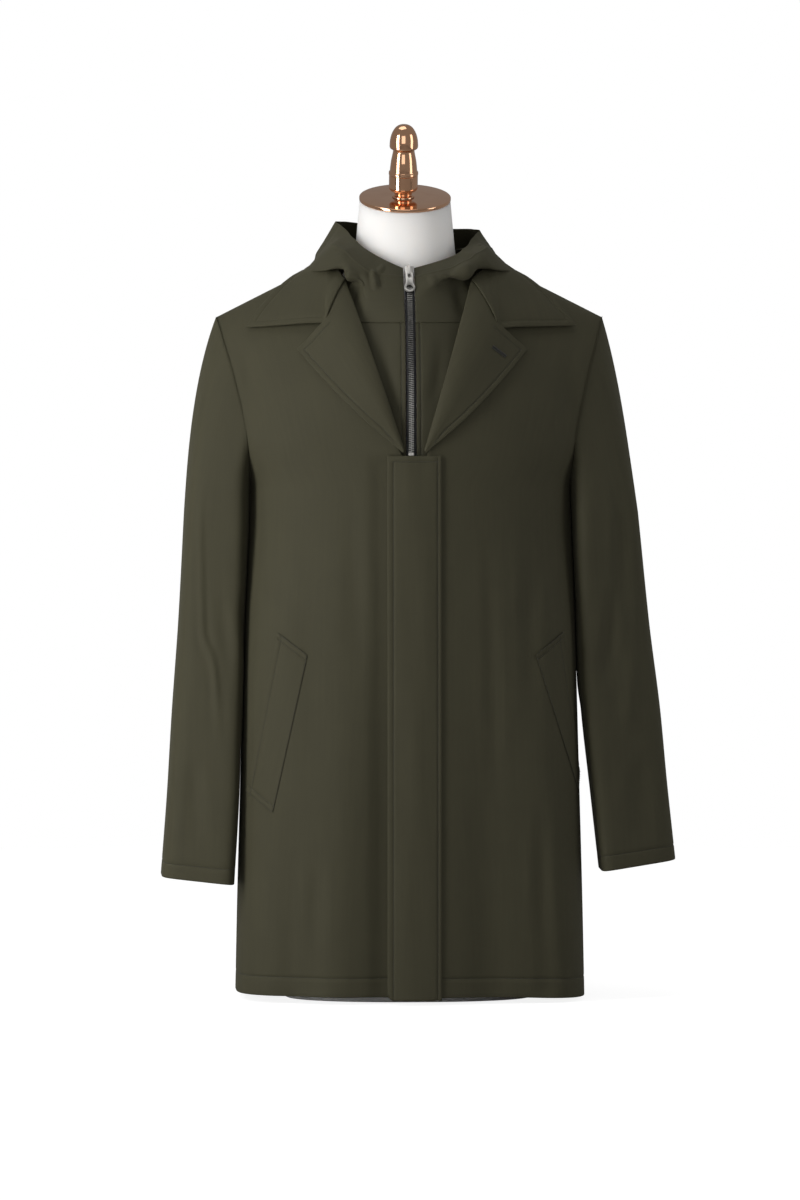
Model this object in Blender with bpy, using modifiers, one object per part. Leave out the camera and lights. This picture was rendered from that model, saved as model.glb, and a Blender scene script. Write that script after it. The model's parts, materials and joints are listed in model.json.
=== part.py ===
"""Overcoat with a fly front and a zip-in hooded bib, worn by a limbless dress form.

Metres, +Z up. Z = 0 is the floor under the form, -Y is the front, +X is the wearer's left.
The coat's front and back are depths over the front view: each height has a section, and the
shoulders round that depth off towards a sloping ridge. All other cloth follows from these.
"""

import math
from collections import namedtuple

import bmesh
import bpy
import numpy as np
from mathutils import Matrix, Vector

FRONT, BACK = -1, 1
RIGHT, LEFT = -1, 1
SIDE_NAME = {RIGHT: "right", LEFT: "left"}

# Cloth: coating with its facing, the lighter bib and hood, and the gaps at seams and between layers.
CLOTH = 0.0020
LIGHT_CLOTH = 0.0016
SEAM_GAP = 0.0003
LAYER_GAP = 0.0008

# Main heights and widths of the coat.
HEM = 0.009
UNDERARM = 0.605
RIDGE_CENTRE = 0.9238
SHOULDER_SLOPE = 0.5122
RIDGE_ROUND = 0.030
SHOULDER_TIP_X = 0.2285
NECK_POINT_X = 0.0880
BACK_NECK = 0.8640
SHOULDER_TIP = RIDGE_CENTRE - SHOULDER_SLOPE * math.hypot(SHOULDER_TIP_X, RIDGE_ROUND)
NECK_POINT = RIDGE_CENTRE - SHOULDER_SLOPE * math.hypot(NECK_POINT_X, RIDGE_ROUND)
SIDE_POWER = 2.3
SHOULDER_REACH = {FRONT: 0.200, BACK: 0.170}
SHOULDER_POWER = {FRONT: 1.7, BACK: 1.8}

# Half widths and depths of the coat; above the underarm the width runs on past the armhole.
Section = namedtuple("Section", "height half_width front back")
COAT_SECTIONS = [
    Section(0.000, 0.2065, 0.1500, 0.1520),
    Section(0.120, 0.2040, 0.1505, 0.1520),
    Section(0.250, 0.2005, 0.1510, 0.1500),
    Section(0.400, 0.1965, 0.1490, 0.1410),
    Section(0.520, 0.1930, 0.1470, 0.1370),
    Section(0.605, 0.1900, 0.1450, 0.1360),
    Section(0.666, 0.2150, 0.1435, 0.1340),
    Section(0.720, 0.2320, 0.1420, 0.1320),
    Section(0.772, 0.2500, 0.1405, 0.1290),
    Section(0.880, 0.2750, 0.1400, 0.1250),
]

# The armhole seam in the front view.
Armhole = namedtuple("Armhole", "height out")
ARMHOLE = [
    Armhole(UNDERARM, 0.1900),
    Armhole(0.638, 0.1908),
    Armhole(0.666, 0.1935),
    Armhole(0.693, 0.1985),
    Armhole(0.720, 0.2045),
    Armhole(0.748, 0.2115),
    Armhole(0.772, 0.2185),
    Armhole(SHOULDER_TIP, SHOULDER_TIP_X),
]

# Soft folds: a line from its top to its bottom, how wide, and how far it stands out or sinks in.
Fold = namedtuple("Fold", "face top_x bottom_x top bottom width height")
FOLDS = [
    Fold(FRONT, -0.060, -0.052, 0.48, HEM, 0.016, -0.0055),
    Fold(FRONT, -0.100, -0.092, 0.40, HEM, 0.024, 0.0040),
    Fold(FRONT, -0.140, -0.142, 0.27, HEM, 0.018, -0.0045),
    Fold(FRONT, 0.062, 0.070, 0.52, HEM, 0.020, -0.0045),
    Fold(FRONT, 0.110, 0.128, 0.50, HEM, 0.024, 0.0055),
    Fold(FRONT, 0.160, 0.168, 0.36, HEM, 0.016, -0.0035),
    Fold(FRONT, -0.194, -0.186, 0.79, 0.66, 0.011, -0.0050),
    Fold(FRONT, 0.190, 0.180, 0.79, 0.62, 0.012, -0.0060),
    Fold(BACK, -0.070, -0.085, 0.46, HEM, 0.026, -0.0060),
    Fold(BACK, -0.020, -0.015, 0.40, HEM, 0.024, 0.0050),
    Fold(BACK, 0.050, 0.062, 0.48, HEM, 0.026, -0.0060),
    Fold(BACK, 0.120, 0.135, 0.36, HEM, 0.022, 0.0045),
    Fold(BACK, -0.175, -0.170, 0.76, 0.62, 0.014, -0.0060),
    Fold(BACK, 0.172, 0.168, 0.76, 0.61, 0.014, -0.0060),
]

# Front opening: the lapels roll from the break point up to the gorge, over a fly that laps left over right.
BREAK = 0.6455
ROLL_BOTTOM_X = 0.0135
GORGE_TOP = (0.0705, 0.8490)
NECK_TURN = (0.0835, 0.8590)
LAP_BLEND = 0.045
LAP_EDGE = 0.0310
UNDERLAP_EDGE = 0.0260
UNDERLAP_SINK = CLOTH + 0.0012
PLACKET_HALF = 0.0315
PLACKET_BOTTOM = 0.006
PLACKET_THICK = 0.0026

# Lapel and collar outlines in the front view, as (out from the centre, height).
LAPEL_NOTCH = (0.0965, 0.8035)
LAPEL_PEAK = (0.1353, 0.7690)
LAPEL_BELLY = 0.003
LAPEL_START = 0.05
LAPEL_ROLL = 0.0065
COLLAR_NOTCH = (0.1020, 0.8010)
COLLAR_POINT = (0.1915, 0.8010)
COLLAR_ROLL = 0.0050
COLLAR_LIFT = CLOTH - 0.0004

# Collar edges seen from above, from the gorge round to the centre back, as (out, back).
COLLAR_INNER = [(0.0865, -0.034), (0.0920, 0.000), (0.0865, 0.036), (0.0530, 0.071), (0.0, 0.083)]
COLLAR_OUTER = [(0.1600, -0.0190), (0.1330, 0.004), (0.1180, 0.046), (0.0740, 0.098), (0.0, 0.119)]

WELT_GAP = 0.0009

# Welt pockets, as (out, height) corners from the top outer corner round to the bottom outer one.
WELT_CORNERS = {
    RIGHT: [(0.1590, 0.4370), (0.1250, 0.4110), (0.1640, 0.2270), (0.1895, 0.2480)],
    LEFT: [(0.1770, 0.4364), (0.1440, 0.4110), (0.1955, 0.2480), (0.1988, 0.2700)],
}

# Sleeve sections below the underarm, for each side as it hangs.
SleeveSection = namedtuple("SleeveSection", "height out forward half_width half_depth tilt")
SLEEVE_SECTIONS = {
    RIGHT: [
        SleeveSection(0.575, 0.2303, 0.000, 0.0357, 0.0710, 0.00),
        SleeveSection(0.450, 0.2348, 0.004, 0.0380, 0.0655, 0.00),
        SleeveSection(0.330, 0.2408, 0.014, 0.0408, 0.0600, 0.03),
        SleeveSection(0.245, 0.2448, 0.022, 0.0420, 0.0560, 0.06),
        SleeveSection(0.142, 0.2520, 0.032, 0.0428, 0.0520, 0.10),
    ],
    LEFT: [
        SleeveSection(0.575, 0.2325, 0.000, 0.0380, 0.0710, 0.00),
        SleeveSection(0.450, 0.2405, 0.004, 0.0430, 0.0655, 0.00),
        SleeveSection(0.330, 0.2515, 0.014, 0.0465, 0.0600, 0.04),
        SleeveSection(0.245, 0.2600, 0.022, 0.0455, 0.0560, 0.08),
        SleeveSection(0.159, 0.2690, 0.032, 0.0452, 0.0520, 0.13),
    ],
}
CAP_SWELL = (0.0139, 0.034)

# The zip-in bib lies inside the fronts; its zip runs up a little to the wearer's right.
BIB_INSET = 0.0075
BIB_BOTTOM = 0.585
BIB_TOP = 0.8098
BIB_HALF_WIDTH = (0.060, 0.100)
ZIP_X = -0.0035
ZIP_HALF = 0.0066
TAPE_INSET = BIB_INSET + 0.0012
TAPE_THICK = 0.0010
TAPE_TOP = 0.8640
CHAIN_HALF = 0.0030
CHAIN_THICK = 0.0024
CHAIN_BOTTOM = 0.640
CHAIN_TOP = 0.8555

# Zip slider and pull tab, in the slider's own frame: x across, y up along the zip, z out.
SLIDER_HEIGHT = 0.8640
SLIDER_LENGTH, SLIDER_WIDTH, SLIDER_THICK = 0.0170, 0.0116, 0.0030
BRIDGE_WIDTH, BRIDGE_BAR, BRIDGE_RISE = 0.0026, 0.0010, 0.0050
BRIDGE_ENDS = (-0.0072, 0.0080)
PULL_AXIS_Y, PULL_AXIS_Z = -0.0046, 0.0020
PULL_THICK, PULL_WIDTH, PULL_LENGTH = 0.0012, 0.0106, 0.0270
PULL_RUNG = 0.0007
PULL_LEAN = math.radians(7)
PULL_SLOT_HALF, PULL_SLOT_LENGTH = 0.0019, 0.0058
PULL_RING_OUTER, PULL_RING_HOLE = 0.0066, 0.0038

# Hood sections in upright planes round the neck: neck seam, under the fold, round it and up to the edge.
HoodSection = namedtuple(
    "HoodSection", "turn seam_r seam_z under_r under_z fold_r fold_z roll_r roll_z edge_r edge_z"
)
HOOD_SECTIONS = [
    HoodSection(0, 0.1115, 0.8068, 0.1028, 0.8220, 0.0924, 0.838, 0.0810, 0.853, 0.0685, 0.8680),
    HoodSection(25, 0.1130, 0.8068, 0.1038, 0.8225, 0.0980, 0.837, 0.0880, 0.857, 0.0685, 0.8745),
    HoodSection(35, 0.1165, 0.8068, 0.0995, 0.8310, 0.0985, 0.848, 0.0915, 0.865, 0.0690, 0.8790),
    HoodSection(45, 0.1195, 0.8068, 0.0920, 0.8410, 0.0940, 0.862, 0.0935, 0.875, 0.0695, 0.8835),
    HoodSection(52, 0.0978, 0.8380, 0.0806, 0.8610, 0.1070, 0.867, 0.0970, 0.882, 0.0695, 0.8870),
    HoodSection(60, 0.0800, 0.8660, 0.0835, 0.8800, 0.1165, 0.863, 0.1020, 0.884, 0.0695, 0.8915),
    HoodSection(80, 0.0720, 0.8800, 0.0855, 0.8920, 0.1270, 0.8645, 0.1040, 0.889, 0.0705, 0.8985),
    HoodSection(100, 0.0700, 0.8840, 0.0890, 0.8925, 0.1310, 0.8606, 0.1070, 0.890, 0.0805, 0.9085),
    HoodSection(115, 0.0700, 0.8860, 0.0955, 0.8880, 0.1410, 0.835, 0.1220, 0.882, 0.0925, 0.9135),
    HoodSection(130, 0.0700, 0.8860, 0.1030, 0.8760, 0.1580, 0.785, 0.1470, 0.862, 0.0925, 0.9135),
    HoodSection(150, 0.0700, 0.8860, 0.1120, 0.8600, 0.1680, 0.705, 0.1680, 0.800, 0.0900, 0.9130),
    HoodSection(180, 0.0700, 0.8840, 0.1120, 0.8580, 0.1560, 0.655, 0.1720, 0.775, 0.0830, 0.9110),
]
HOOD_LEAN = 0.0055

# Dress form: torso sections, neck, cap plate and finial.
FORM_SECTIONS = [
    Section(0.000, 0.1500, 0.100, 0.105),
    Section(0.100, 0.1600, 0.108, 0.115),
    Section(0.200, 0.1680, 0.112, 0.122),
    Section(0.320, 0.1580, 0.106, 0.112),
    Section(0.420, 0.1480, 0.102, 0.100),
    Section(0.540, 0.1620, 0.112, 0.108),
    Section(0.620, 0.1720, 0.118, 0.112),
    Section(0.720, 0.1840, 0.116, 0.110),
    Section(0.800, 0.2000, 0.112, 0.106),
    Section(0.900, 0.2150, 0.110, 0.102),
]
FORM_HEIGHTS = [
    0.0, 0.006, 0.10, 0.20, 0.32, 0.42, 0.54, 0.62, 0.70, 0.75,
    0.785, 0.805, 0.818, 0.832, 0.846, 0.860, 0.874,
]
FORM_DROP = CLOTH + 0.0016
FORM_FOOT_ROUND = 0.004
NECK_X, NECK_Y = -0.0045, 0.006
NECK_BASE, NECK_BASE_RADIUS = 0.886, 0.0590
NECK_TOP, NECK_TOP_RADIUS = 0.9440, 0.0550
NECK_BLEND = 0.845
NECK_LEAN = math.radians(14)
CAP_RADIUS, CAP_THICK, CAP_ROUND = 0.0556, 0.0040, 0.0008
# Turned finial, as (radius, height above the cap), from the tip down.
FINIAL_PROFILE = [
    (0.0000, 0.0890), (0.0050, 0.0882), (0.0095, 0.0855), (0.0130, 0.0805), (0.0152, 0.0740),
    (0.0162, 0.0670), (0.0165, 0.0600), (0.0160, 0.0580), (0.0122, 0.0562), (0.0117, 0.0545),
    (0.0128, 0.0510), (0.0150, 0.0425), (0.0160, 0.0350), (0.0163, 0.0330), (0.0174, 0.0318),
    (0.0175, 0.0295), (0.0170, 0.0285), (0.0170, 0.0165), (0.0150, 0.0125), (0.0112, 0.0100),
    (0.0108, 0.0040), (0.0130, 0.0015), (0.0132, 0.0004), (0.0000, 0.0004),
]

# Numbers of spans in the nets.
BODY_ROWS, ARMHOLE_ROWS, PANEL_COLUMNS = 7, 10, 12
CAP_ROWS, SLEEVE_ROWS = 5, 8
UNDER_SEAM = 7
LAPEL_SPANS, COLLAR_SPANS = (10, 6), (11, 5)
PLACKET_SPANS, WELT_SPANS, BIB_SPANS = (20, 4), (12, 5), (9, 6)
HOOD_SPANS = (16, 15)
FORM_SIDES, TURNED_STEPS = 36, 24

# Finishes as (red, green, blue), roughness, metallic.
FINISHES = {
    "coating": ((0.066, 0.062, 0.040), 0.85, 0.0),
    "bib_cloth": ((0.060, 0.056, 0.037), 0.80, 0.0),
    "zip_tape": ((0.012, 0.012, 0.014), 0.80, 0.0),
    "zip_metal": ((0.48, 0.46, 0.43), 0.30, 1.0),
    "form_cover": ((0.82, 0.79, 0.75), 0.55, 0.0),
    "copper": ((0.62, 0.31, 0.20), 0.12, 1.0),
}


def smooth_curve(places, values):
    """A curve through the values that doesn't overshoot them."""
    places, values = np.array(places, float), np.array(values, float)
    steps = np.diff(places)
    rates = np.diff(values) / steps
    slopes = np.concatenate([rates[:1], np.zeros(len(rates) - 1), rates[-1:]])
    for i in range(1, len(rates)):
        if rates[i - 1] * rates[i] > 0:
            slopes[i] = 2 * rates[i - 1] * rates[i] / (rates[i - 1] + rates[i])

    def value(place):
        place = np.clip(place, places[0], places[-1])
        i = np.clip(np.searchsorted(places, place, side="right") - 1, 0, len(steps) - 1)
        t = (place - places[i]) / steps[i]
        start = values[i] * (1 + 2 * t) + slopes[i] * steps[i] * t
        end = values[i + 1] * (3 - 2 * t) + slopes[i + 1] * steps[i] * (t - 1)
        return start * (1 - t) ** 2 + end * t ** 2

    return value


def table_curve(rows, column):
    """A smooth curve of one named column against the table's first column."""
    return smooth_curve([row[0] for row in rows], [getattr(row, column) for row in rows])


def route(points, spans):
    """Evenly numbered points on a smooth curve through the given ones."""
    points = np.array(points, float)
    along = np.concatenate([[0], np.cumsum(np.linalg.norm(np.diff(points, axis=0), axis=1))])
    wanted = np.linspace(0, along[-1], spans + 1)
    return np.stack([smooth_curve(along, points[:, k])(wanted) for k in range(points.shape[1])], axis=-1)


def smooth_step(value):
    value = np.clip(value, 0, 1)
    return value * value * (3 - 2 * value)


def superellipse(part, power):
    """Falls from 1 at the middle to 0 at the rim."""
    return (1 - np.clip(np.abs(part), 0, 1) ** power) ** (1 / power)


def unit(vectors):
    return vectors / np.linalg.norm(vectors, axis=-1, keepdims=True)


coat_half_width = table_curve(COAT_SECTIONS, "half_width")
coat_section = {FRONT: table_curve(COAT_SECTIONS, "front"), BACK: table_curve(COAT_SECTIONS, "back")}
form_half_width = table_curve(FORM_SECTIONS, "half_width")
form_section = {FRONT: table_curve(FORM_SECTIONS, "front"), BACK: table_curve(FORM_SECTIONS, "back")}
armhole_out = table_curve(ARMHOLE, "out")


def ridge_height(x):
    return RIDGE_CENTRE - SHOULDER_SLOPE * np.hypot(x, RIDGE_ROUND)


def fold_height(x, z, face):
    """How far the folds move the coat out at a place in the front view."""
    total = np.zeros(np.broadcast(x, z).shape)
    for fold in FOLDS:
        if fold.face != face:
            continue
        down = np.clip((fold.top - z) / (fold.top - fold.bottom), 0, 1)
        middle = fold.top_x + (fold.bottom_x - fold.top_x) * down
        strength = smooth_step(down) if fold.bottom <= HEM else np.sin(math.pi * down) ** 2
        total += fold.height * strength * np.exp(-(((x - middle) / fold.width) ** 2))
    return total


def coat_y(x, z, face):
    drop = (ridge_height(x) - z) / SHOULDER_REACH[face]
    side = superellipse(x / coat_half_width(z), SIDE_POWER)
    shoulder = superellipse(1 - np.clip(drop, 0, 1), SHOULDER_POWER[face])
    depth = coat_section[face](z) * side * shoulder
    return face * (depth + fold_height(x, z, face) * np.minimum(1, 2 * side * shoulder))


def coat_normal(x, z, face):
    step = 0.0004
    across = (coat_y(x + step, z, face) - coat_y(x - step, z, face)) / (2 * step)
    upward = (coat_y(x, z + step, face) - coat_y(x, z - step, face)) / (2 * step)
    return unit(face * np.stack([-across, np.ones_like(across), -upward], axis=-1))


def coat_point(x, z, face, lift=0.0):
    """A point on the coat, moved out from it by the lift."""
    x, z = np.broadcast_arrays(np.asarray(x, float), np.asarray(z, float))
    points = np.stack([x, coat_y(x, z, face), z], axis=-1)
    return points + np.asarray(lift)[..., None] * coat_normal(x, z, face)


def coat_height(x, y):
    """The height of the coat's upper surface at a place seen from above."""
    x, y = np.broadcast_arrays(np.asarray(x, float), np.asarray(y, float))
    height = np.zeros(x.shape)
    for face in (FRONT, BACK):
        z = ridge_height(x) - 0.05
        for _ in range(12):
            reach = coat_section[face](z) * superellipse(x / coat_half_width(z), SIDE_POWER)
            inward = superellipse(np.minimum(np.abs(y) / reach, 0.999), SHOULDER_POWER[face])
            z = ridge_height(x) - SHOULDER_REACH[face] * (1 - inward)
        height = np.where(y * face >= 0, z, height)
    return height


def shoulder_point(x, y, lift):
    """A point on the coat's shoulders, placed from above and moved out by the lift."""
    step = 0.0006
    across = (coat_height(x + step, y) - coat_height(x - step, y)) / (2 * step)
    back = (coat_height(x, y + step) - coat_height(x, y - step)) / (2 * step)
    normal = unit(np.stack([-across, -back, np.ones_like(across)], axis=-1))
    return np.stack([x, y, coat_height(x, y)], axis=-1) + np.asarray(lift)[..., None] * normal


def net_normals(net, wound_out):
    """Normals of a net of points; wound_out is 1 or -1 for the way its rows and columns turn."""
    return wound_out * unit(np.cross(np.gradient(net, axis=0), np.gradient(net, axis=1)))


def pull_back(net, rows=(), columns=(), gap=SEAM_GAP / 2):
    """The net with the named first (0) or last (-1) rows and columns drawn in by half a seam gap."""
    net = net.copy()
    for end in rows:
        net[end] += gap * unit(net[1 if end == 0 else -2] - net[end])
    for end in columns:
        net[:, end] += gap * unit(net[:, 1 if end == 0 else -2] - net[:, end])
    return net


def finish(name):
    material = bpy.data.materials.get(name) or bpy.data.materials.new(name)
    colour, roughness, metallic = FINISHES[name]
    material.use_nodes = True
    shader = material.node_tree.nodes["Principled BSDF"]
    shader.inputs["Base Color"].default_value = (*colour, 1)
    shader.inputs["Roughness"].default_value = roughness
    shader.inputs["Metallic"].default_value = metallic
    return material


def add_object(name, data, material):
    data.materials.clear()
    data.materials.append(finish(material))
    part = bpy.data.objects.new(name, data)
    bpy.data.collections["overcoat_on_form"].objects.link(part)
    return part


def add_mesh(name, shape, material):
    """Turns a closed bmesh into a smooth-shaded object."""
    bmesh.ops.recalc_face_normals(shape, faces=shape.faces)
    mesh = bpy.data.meshes.new(name)
    shape.to_mesh(mesh)
    shape.free()
    mesh.shade_smooth()
    mesh.set_sharp_from_angle(angle=math.radians(50))
    return add_object(name, mesh, material)


def add_wall(name, outer, inner, material):
    """A cloth piece: a loft of its outer and inner nets, closed round the rim."""
    rows, columns = outer.shape[:2]
    shape = bmesh.new()
    skins = []
    for net in (outer, inner):
        skins.append([[shape.verts.new(point) for point in row] for row in net])
    for skin in skins:
        for i in range(rows - 1):
            for j in range(columns - 1):
                shape.faces.new((skin[i][j], skin[i][j + 1], skin[i + 1][j + 1], skin[i + 1][j]))
    rim = [(0, j) for j in range(columns)] + [(i, columns - 1) for i in range(1, rows)]
    rim += [(rows - 1, j) for j in range(columns - 2, -1, -1)] + [(i, 0) for i in range(rows - 2, 0, -1)]
    for (i, j), (k, m) in zip(rim, rim[1:] + rim[:1]):
        shape.faces.new((skins[0][i][j], skins[0][k][m], skins[1][k][m], skins[1][i][j]))
    return add_mesh(name, shape, material)


def add_sheet(name, net, wound_out, thickness, material):
    """A cloth piece of even thickness under its outer net."""
    return add_wall(name, net, net - thickness * net_normals(net, wound_out), material)


def armhole_heights():
    """Heights on the armhole seam from the underarm to the tip, closer at its round ends."""
    share = (1 - np.cos(np.linspace(0, math.pi, ARMHOLE_ROWS + 1))) / 2
    return share, UNDERARM + (SHOULDER_TIP - UNDERARM) * share


def armhole_loop(side):
    """Armhole points from the tip down the front to the underarm and up the back."""
    _, heights = armhole_heights()
    out = armhole_out(heights)
    front = np.stack([side * out, coat_y(out * side, heights, FRONT), heights], axis=-1)
    back = np.stack([side * out, coat_y(out * side, heights, BACK), heights], axis=-1)
    front[[0, -1], 1] = back[[0, -1], 1] = 0
    return np.concatenate([front[::-1], back[1:-1]])


def sleeve_net(side):
    """Rings of the sleeve from the armhole to the cuff, each from the top round by the front."""
    loop = armhole_loop(side)
    loop[:, 0] += side * SEAM_GAP
    turn = np.linspace(0, 2 * math.pi, len(loop), endpoint=False)
    sections = SLEEVE_SECTIONS[side]
    columns = {name: table_curve(sections[::-1], name) for name in SleeveSection._fields[1:]}

    def ring(height):
        out = columns["half_width"](height) * np.cos(turn)
        x = side * (columns["out"](height) + out)
        y = -columns["forward"](height) - columns["half_depth"](height) * np.sin(turn)
        return np.stack([x, y, height + columns["tilt"](height) * out], axis=-1)

    upper = ring(sections[0].height)
    swell = (1 + np.cos(turn)) / 2
    middle = (loop + upper) / 2
    middle[:, 0] += side * CAP_SWELL[0] * swell
    middle[:, 2] += CAP_SWELL[1] * swell
    share = np.linspace(0, 1, CAP_ROWS + 1)[:, None, None]
    cap = (1 - share) ** 2 * loop + 2 * share * (1 - share) * middle + share ** 2 * upper
    heights = np.linspace(sections[0].height, sections[-1].height, SLEEVE_ROWS + 1)[1:]
    return np.concatenate([cap, [ring(height) for height in heights]])


def armhole_normals(side):
    """Outward directions at the armhole for the panels and the sleeve, shared where the corner is round."""
    net = sleeve_net(side)
    closed = np.concatenate([net[:, -1:], net, net[:, :1]], axis=1)
    sleeve = net_normals(closed, -side)[0, 1:-1]
    loop = net[0]
    panel = np.empty_like(loop)
    for face, span in ((FRONT, slice(1, ARMHOLE_ROWS)), (BACK, slice(ARMHOLE_ROWS + 1, None))):
        panel[span] = coat_normal(loop[span, 0], loop[span, 2], face)
    panel[0] = unit(np.array([side * SHOULDER_SLOPE, 0, 1]))
    panel[ARMHOLE_ROWS] = (side, 0, 0)
    shared = unit(panel + sleeve + 1e-9)
    close = np.sum(panel * sleeve, axis=1, keepdims=True)
    mitre = shared / np.maximum(np.sum(shared * panel, axis=1, keepdims=True), 0.6)
    return np.where(close > 0, mitre, panel), np.where(close > 0, mitre, sleeve)


def panel_rows(side, inner_edge, inner_top):
    """Front-view rows of a body panel from the hem up, each from its inner edge out to its seam."""
    share, seam_heights = armhole_heights()
    low = np.linspace(HEM, UNDERARM, BODY_ROWS + 1)[:-1]
    seam_z = np.concatenate([low, seam_heights])
    seam_x = np.concatenate([coat_half_width(low), armhole_out(seam_heights)])
    inner_z = np.concatenate([low, UNDERARM + (inner_top - UNDERARM) * share])
    inner_x = inner_edge(inner_z)
    across = np.sin(np.linspace(0, math.pi / 2, PANEL_COLUMNS + 1)) ** 0.9
    x = inner_x[:, None] + (seam_x - inner_x)[:, None] * across
    z = inner_z[:, None] + (seam_z - inner_z)[:, None] * across
    return side * x, z


def seam_normals(normals, side, face):
    """Panel normals with those along the side seam, armhole and shoulder matched to the next piece."""
    normals = normals.copy()
    normals[-1] = unit(np.array([side * SHOULDER_SLOPE, 0, 1]))
    normals[:BODY_ROWS, -1] = (side, 0, 0)
    panel, _ = armhole_normals(side)
    if face == FRONT:
        edge = panel[ARMHOLE_ROWS::-1]
    else:
        edge = np.concatenate([panel[ARMHOLE_ROWS:], panel[:1]])
    normals[BODY_ROWS:, -1] = edge
    return normals


def front_edge(side):
    """The front's inner edge: the lap below the break, then the roll line up to the neck."""
    lap = -LAP_EDGE if side == LEFT else -UNDERLAP_EDGE
    return smooth_curve(
        [HEM, BREAK - LAP_BLEND, BREAK, GORGE_TOP[1], NECK_TURN[1], NECK_POINT],
        [lap, lap, ROLL_BOTTOM_X, GORGE_TOP[0], NECK_TURN[0], NECK_POINT_X],
    )


def underlap_sink(x, z):
    """How far the right front sinks to pass under the left one."""
    return UNDERLAP_SINK * smooth_step((x + 0.058) / 0.020) * smooth_step((BREAK + 0.004 - z) / 0.012)


def add_front(side):
    x, z = panel_rows(side, front_edge(side), NECK_POINT)
    net = coat_point(x, z, FRONT)
    net[:, -1] = np.stack([x[:, -1], coat_y(x[:, -1], z[:, -1], FRONT), z[:, -1]], axis=-1)
    net[-1, :, 1] = 0
    net[: BODY_ROWS + 1, -1, 1] = 0
    if side == RIGHT:
        net -= underlap_sink(x, z)[..., None] * coat_normal(x, z, FRONT)
    net = pull_back(net, rows=[-1], columns=[-1])
    normals = seam_normals(net_normals(net, -side), side, FRONT)
    add_wall(f"front_{SIDE_NAME[side]}", net, net - CLOTH * normals, "coating")


def back_rows(side):
    """Rows of half the back from the centre out; the top one runs along the neckline, then the shoulder."""
    x, z = panel_rows(side, lambda height: np.zeros_like(height), BACK_NECK)
    neck_spans = 3
    top_x = np.concatenate([
        np.linspace(0, NECK_POINT_X, neck_spans + 1),
        np.linspace(NECK_POINT_X, SHOULDER_TIP_X, PANEL_COLUMNS - neck_spans + 1)[1:],
    ])
    rise = np.clip(top_x / NECK_POINT_X, 0, 1) ** 2.5
    top_z = np.where(top_x < NECK_POINT_X, BACK_NECK + (NECK_POINT - BACK_NECK) * rise, ridge_height(top_x))
    weight = (np.clip((z[:, -1:] - UNDERARM) / (SHOULDER_TIP - UNDERARM), 0, 1)) ** 3
    x = x + weight * (side * top_x - x[-1])
    z = z + weight * (top_z - z[-1])
    return x, z, neck_spans


def add_back():
    """The back is one panel: its two halves meet in the middle of the net."""
    halves = {}
    for side in (RIGHT, LEFT):
        x, z, neck_spans = back_rows(side)
        net = coat_point(x, z, BACK)
        net[-1, neck_spans:, 1] = 0
        net[: BODY_ROWS + 1, -1, 1] = 0
        net = pull_back(net, rows=[-1], columns=[-1])
        normals = net_normals(net, side)
        neckline = normals[-1, :neck_spans].copy()
        normals = seam_normals(normals, side, BACK)
        normals[-1, :neck_spans] = neckline
        halves[side] = (net, normals)
    (right, right_out), (left, left_out) = halves[RIGHT], halves[LEFT]
    net = np.concatenate([right[:, ::-1], left[:, 1:]], axis=1)
    middle = unit(right_out[:, :1] + left_out[:, :1])
    normals = np.concatenate([right_out[:, :0:-1], middle, left_out[:, 1:]], axis=1)
    add_wall("back", net, net - CLOTH * normals, "coating")


def add_sleeve(side):
    """Upper and under sleeve, parted by seams on the inside of the arm."""
    net = sleeve_net(side)
    closed = np.concatenate([net[:, -1:], net, net[:, :1]], axis=1)
    normals = net_normals(closed, -side)[:, 1:-1]
    normals[0] = armhole_normals(side)[1]
    points = net.shape[1]
    spans = {
        "upper_sleeve": np.arange(-UNDER_SEAM, UNDER_SEAM + 1) % points,
        "under_sleeve": np.arange(UNDER_SEAM, points - UNDER_SEAM + 1),
    }
    for name, span in spans.items():
        piece = pull_back(net[:, span], rows=[0], columns=[0, -1])
        add_wall(f"{name}_{SIDE_NAME[side]}", piece, piece - CLOTH * normals[:, span], "coating")


def add_lapel(side):
    rows, columns = LAPEL_SPANS
    up = np.linspace(LAPEL_START, 1, rows + 1)[:, None]
    across = np.linspace(0, 1, columns + 1)[None, :]
    start, gorge, peak = (ROLL_BOTTOM_X, BREAK), GORGE_TOP, LAPEL_PEAK
    top_break = 0.4
    views = []
    for k in (0, 1):
        roll = start[k] + (gorge[k] - start[k]) * up
        edge = start[k] + (peak[k] - start[k]) * up
        top = np.interp(across, [0, top_break, 1], [gorge[k], LAPEL_NOTCH[k], peak[k]])
        straight_top = gorge[k] + (peak[k] - gorge[k]) * across
        views.append(roll + (edge - roll) * across + up * (top - straight_top))
    belly = LAPEL_BELLY * np.sin(math.pi * up) * across
    x, z = side * (views[0] + belly), views[1] - belly
    swell = LAPEL_ROLL * 6.75 * across * (1 - across) ** 2 * np.sqrt(up)
    net = coat_point(x, z, FRONT, LAYER_GAP + CLOTH + swell)
    add_sheet(f"lapel_{SIDE_NAME[side]}", net, -side, CLOTH, "coating")


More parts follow.
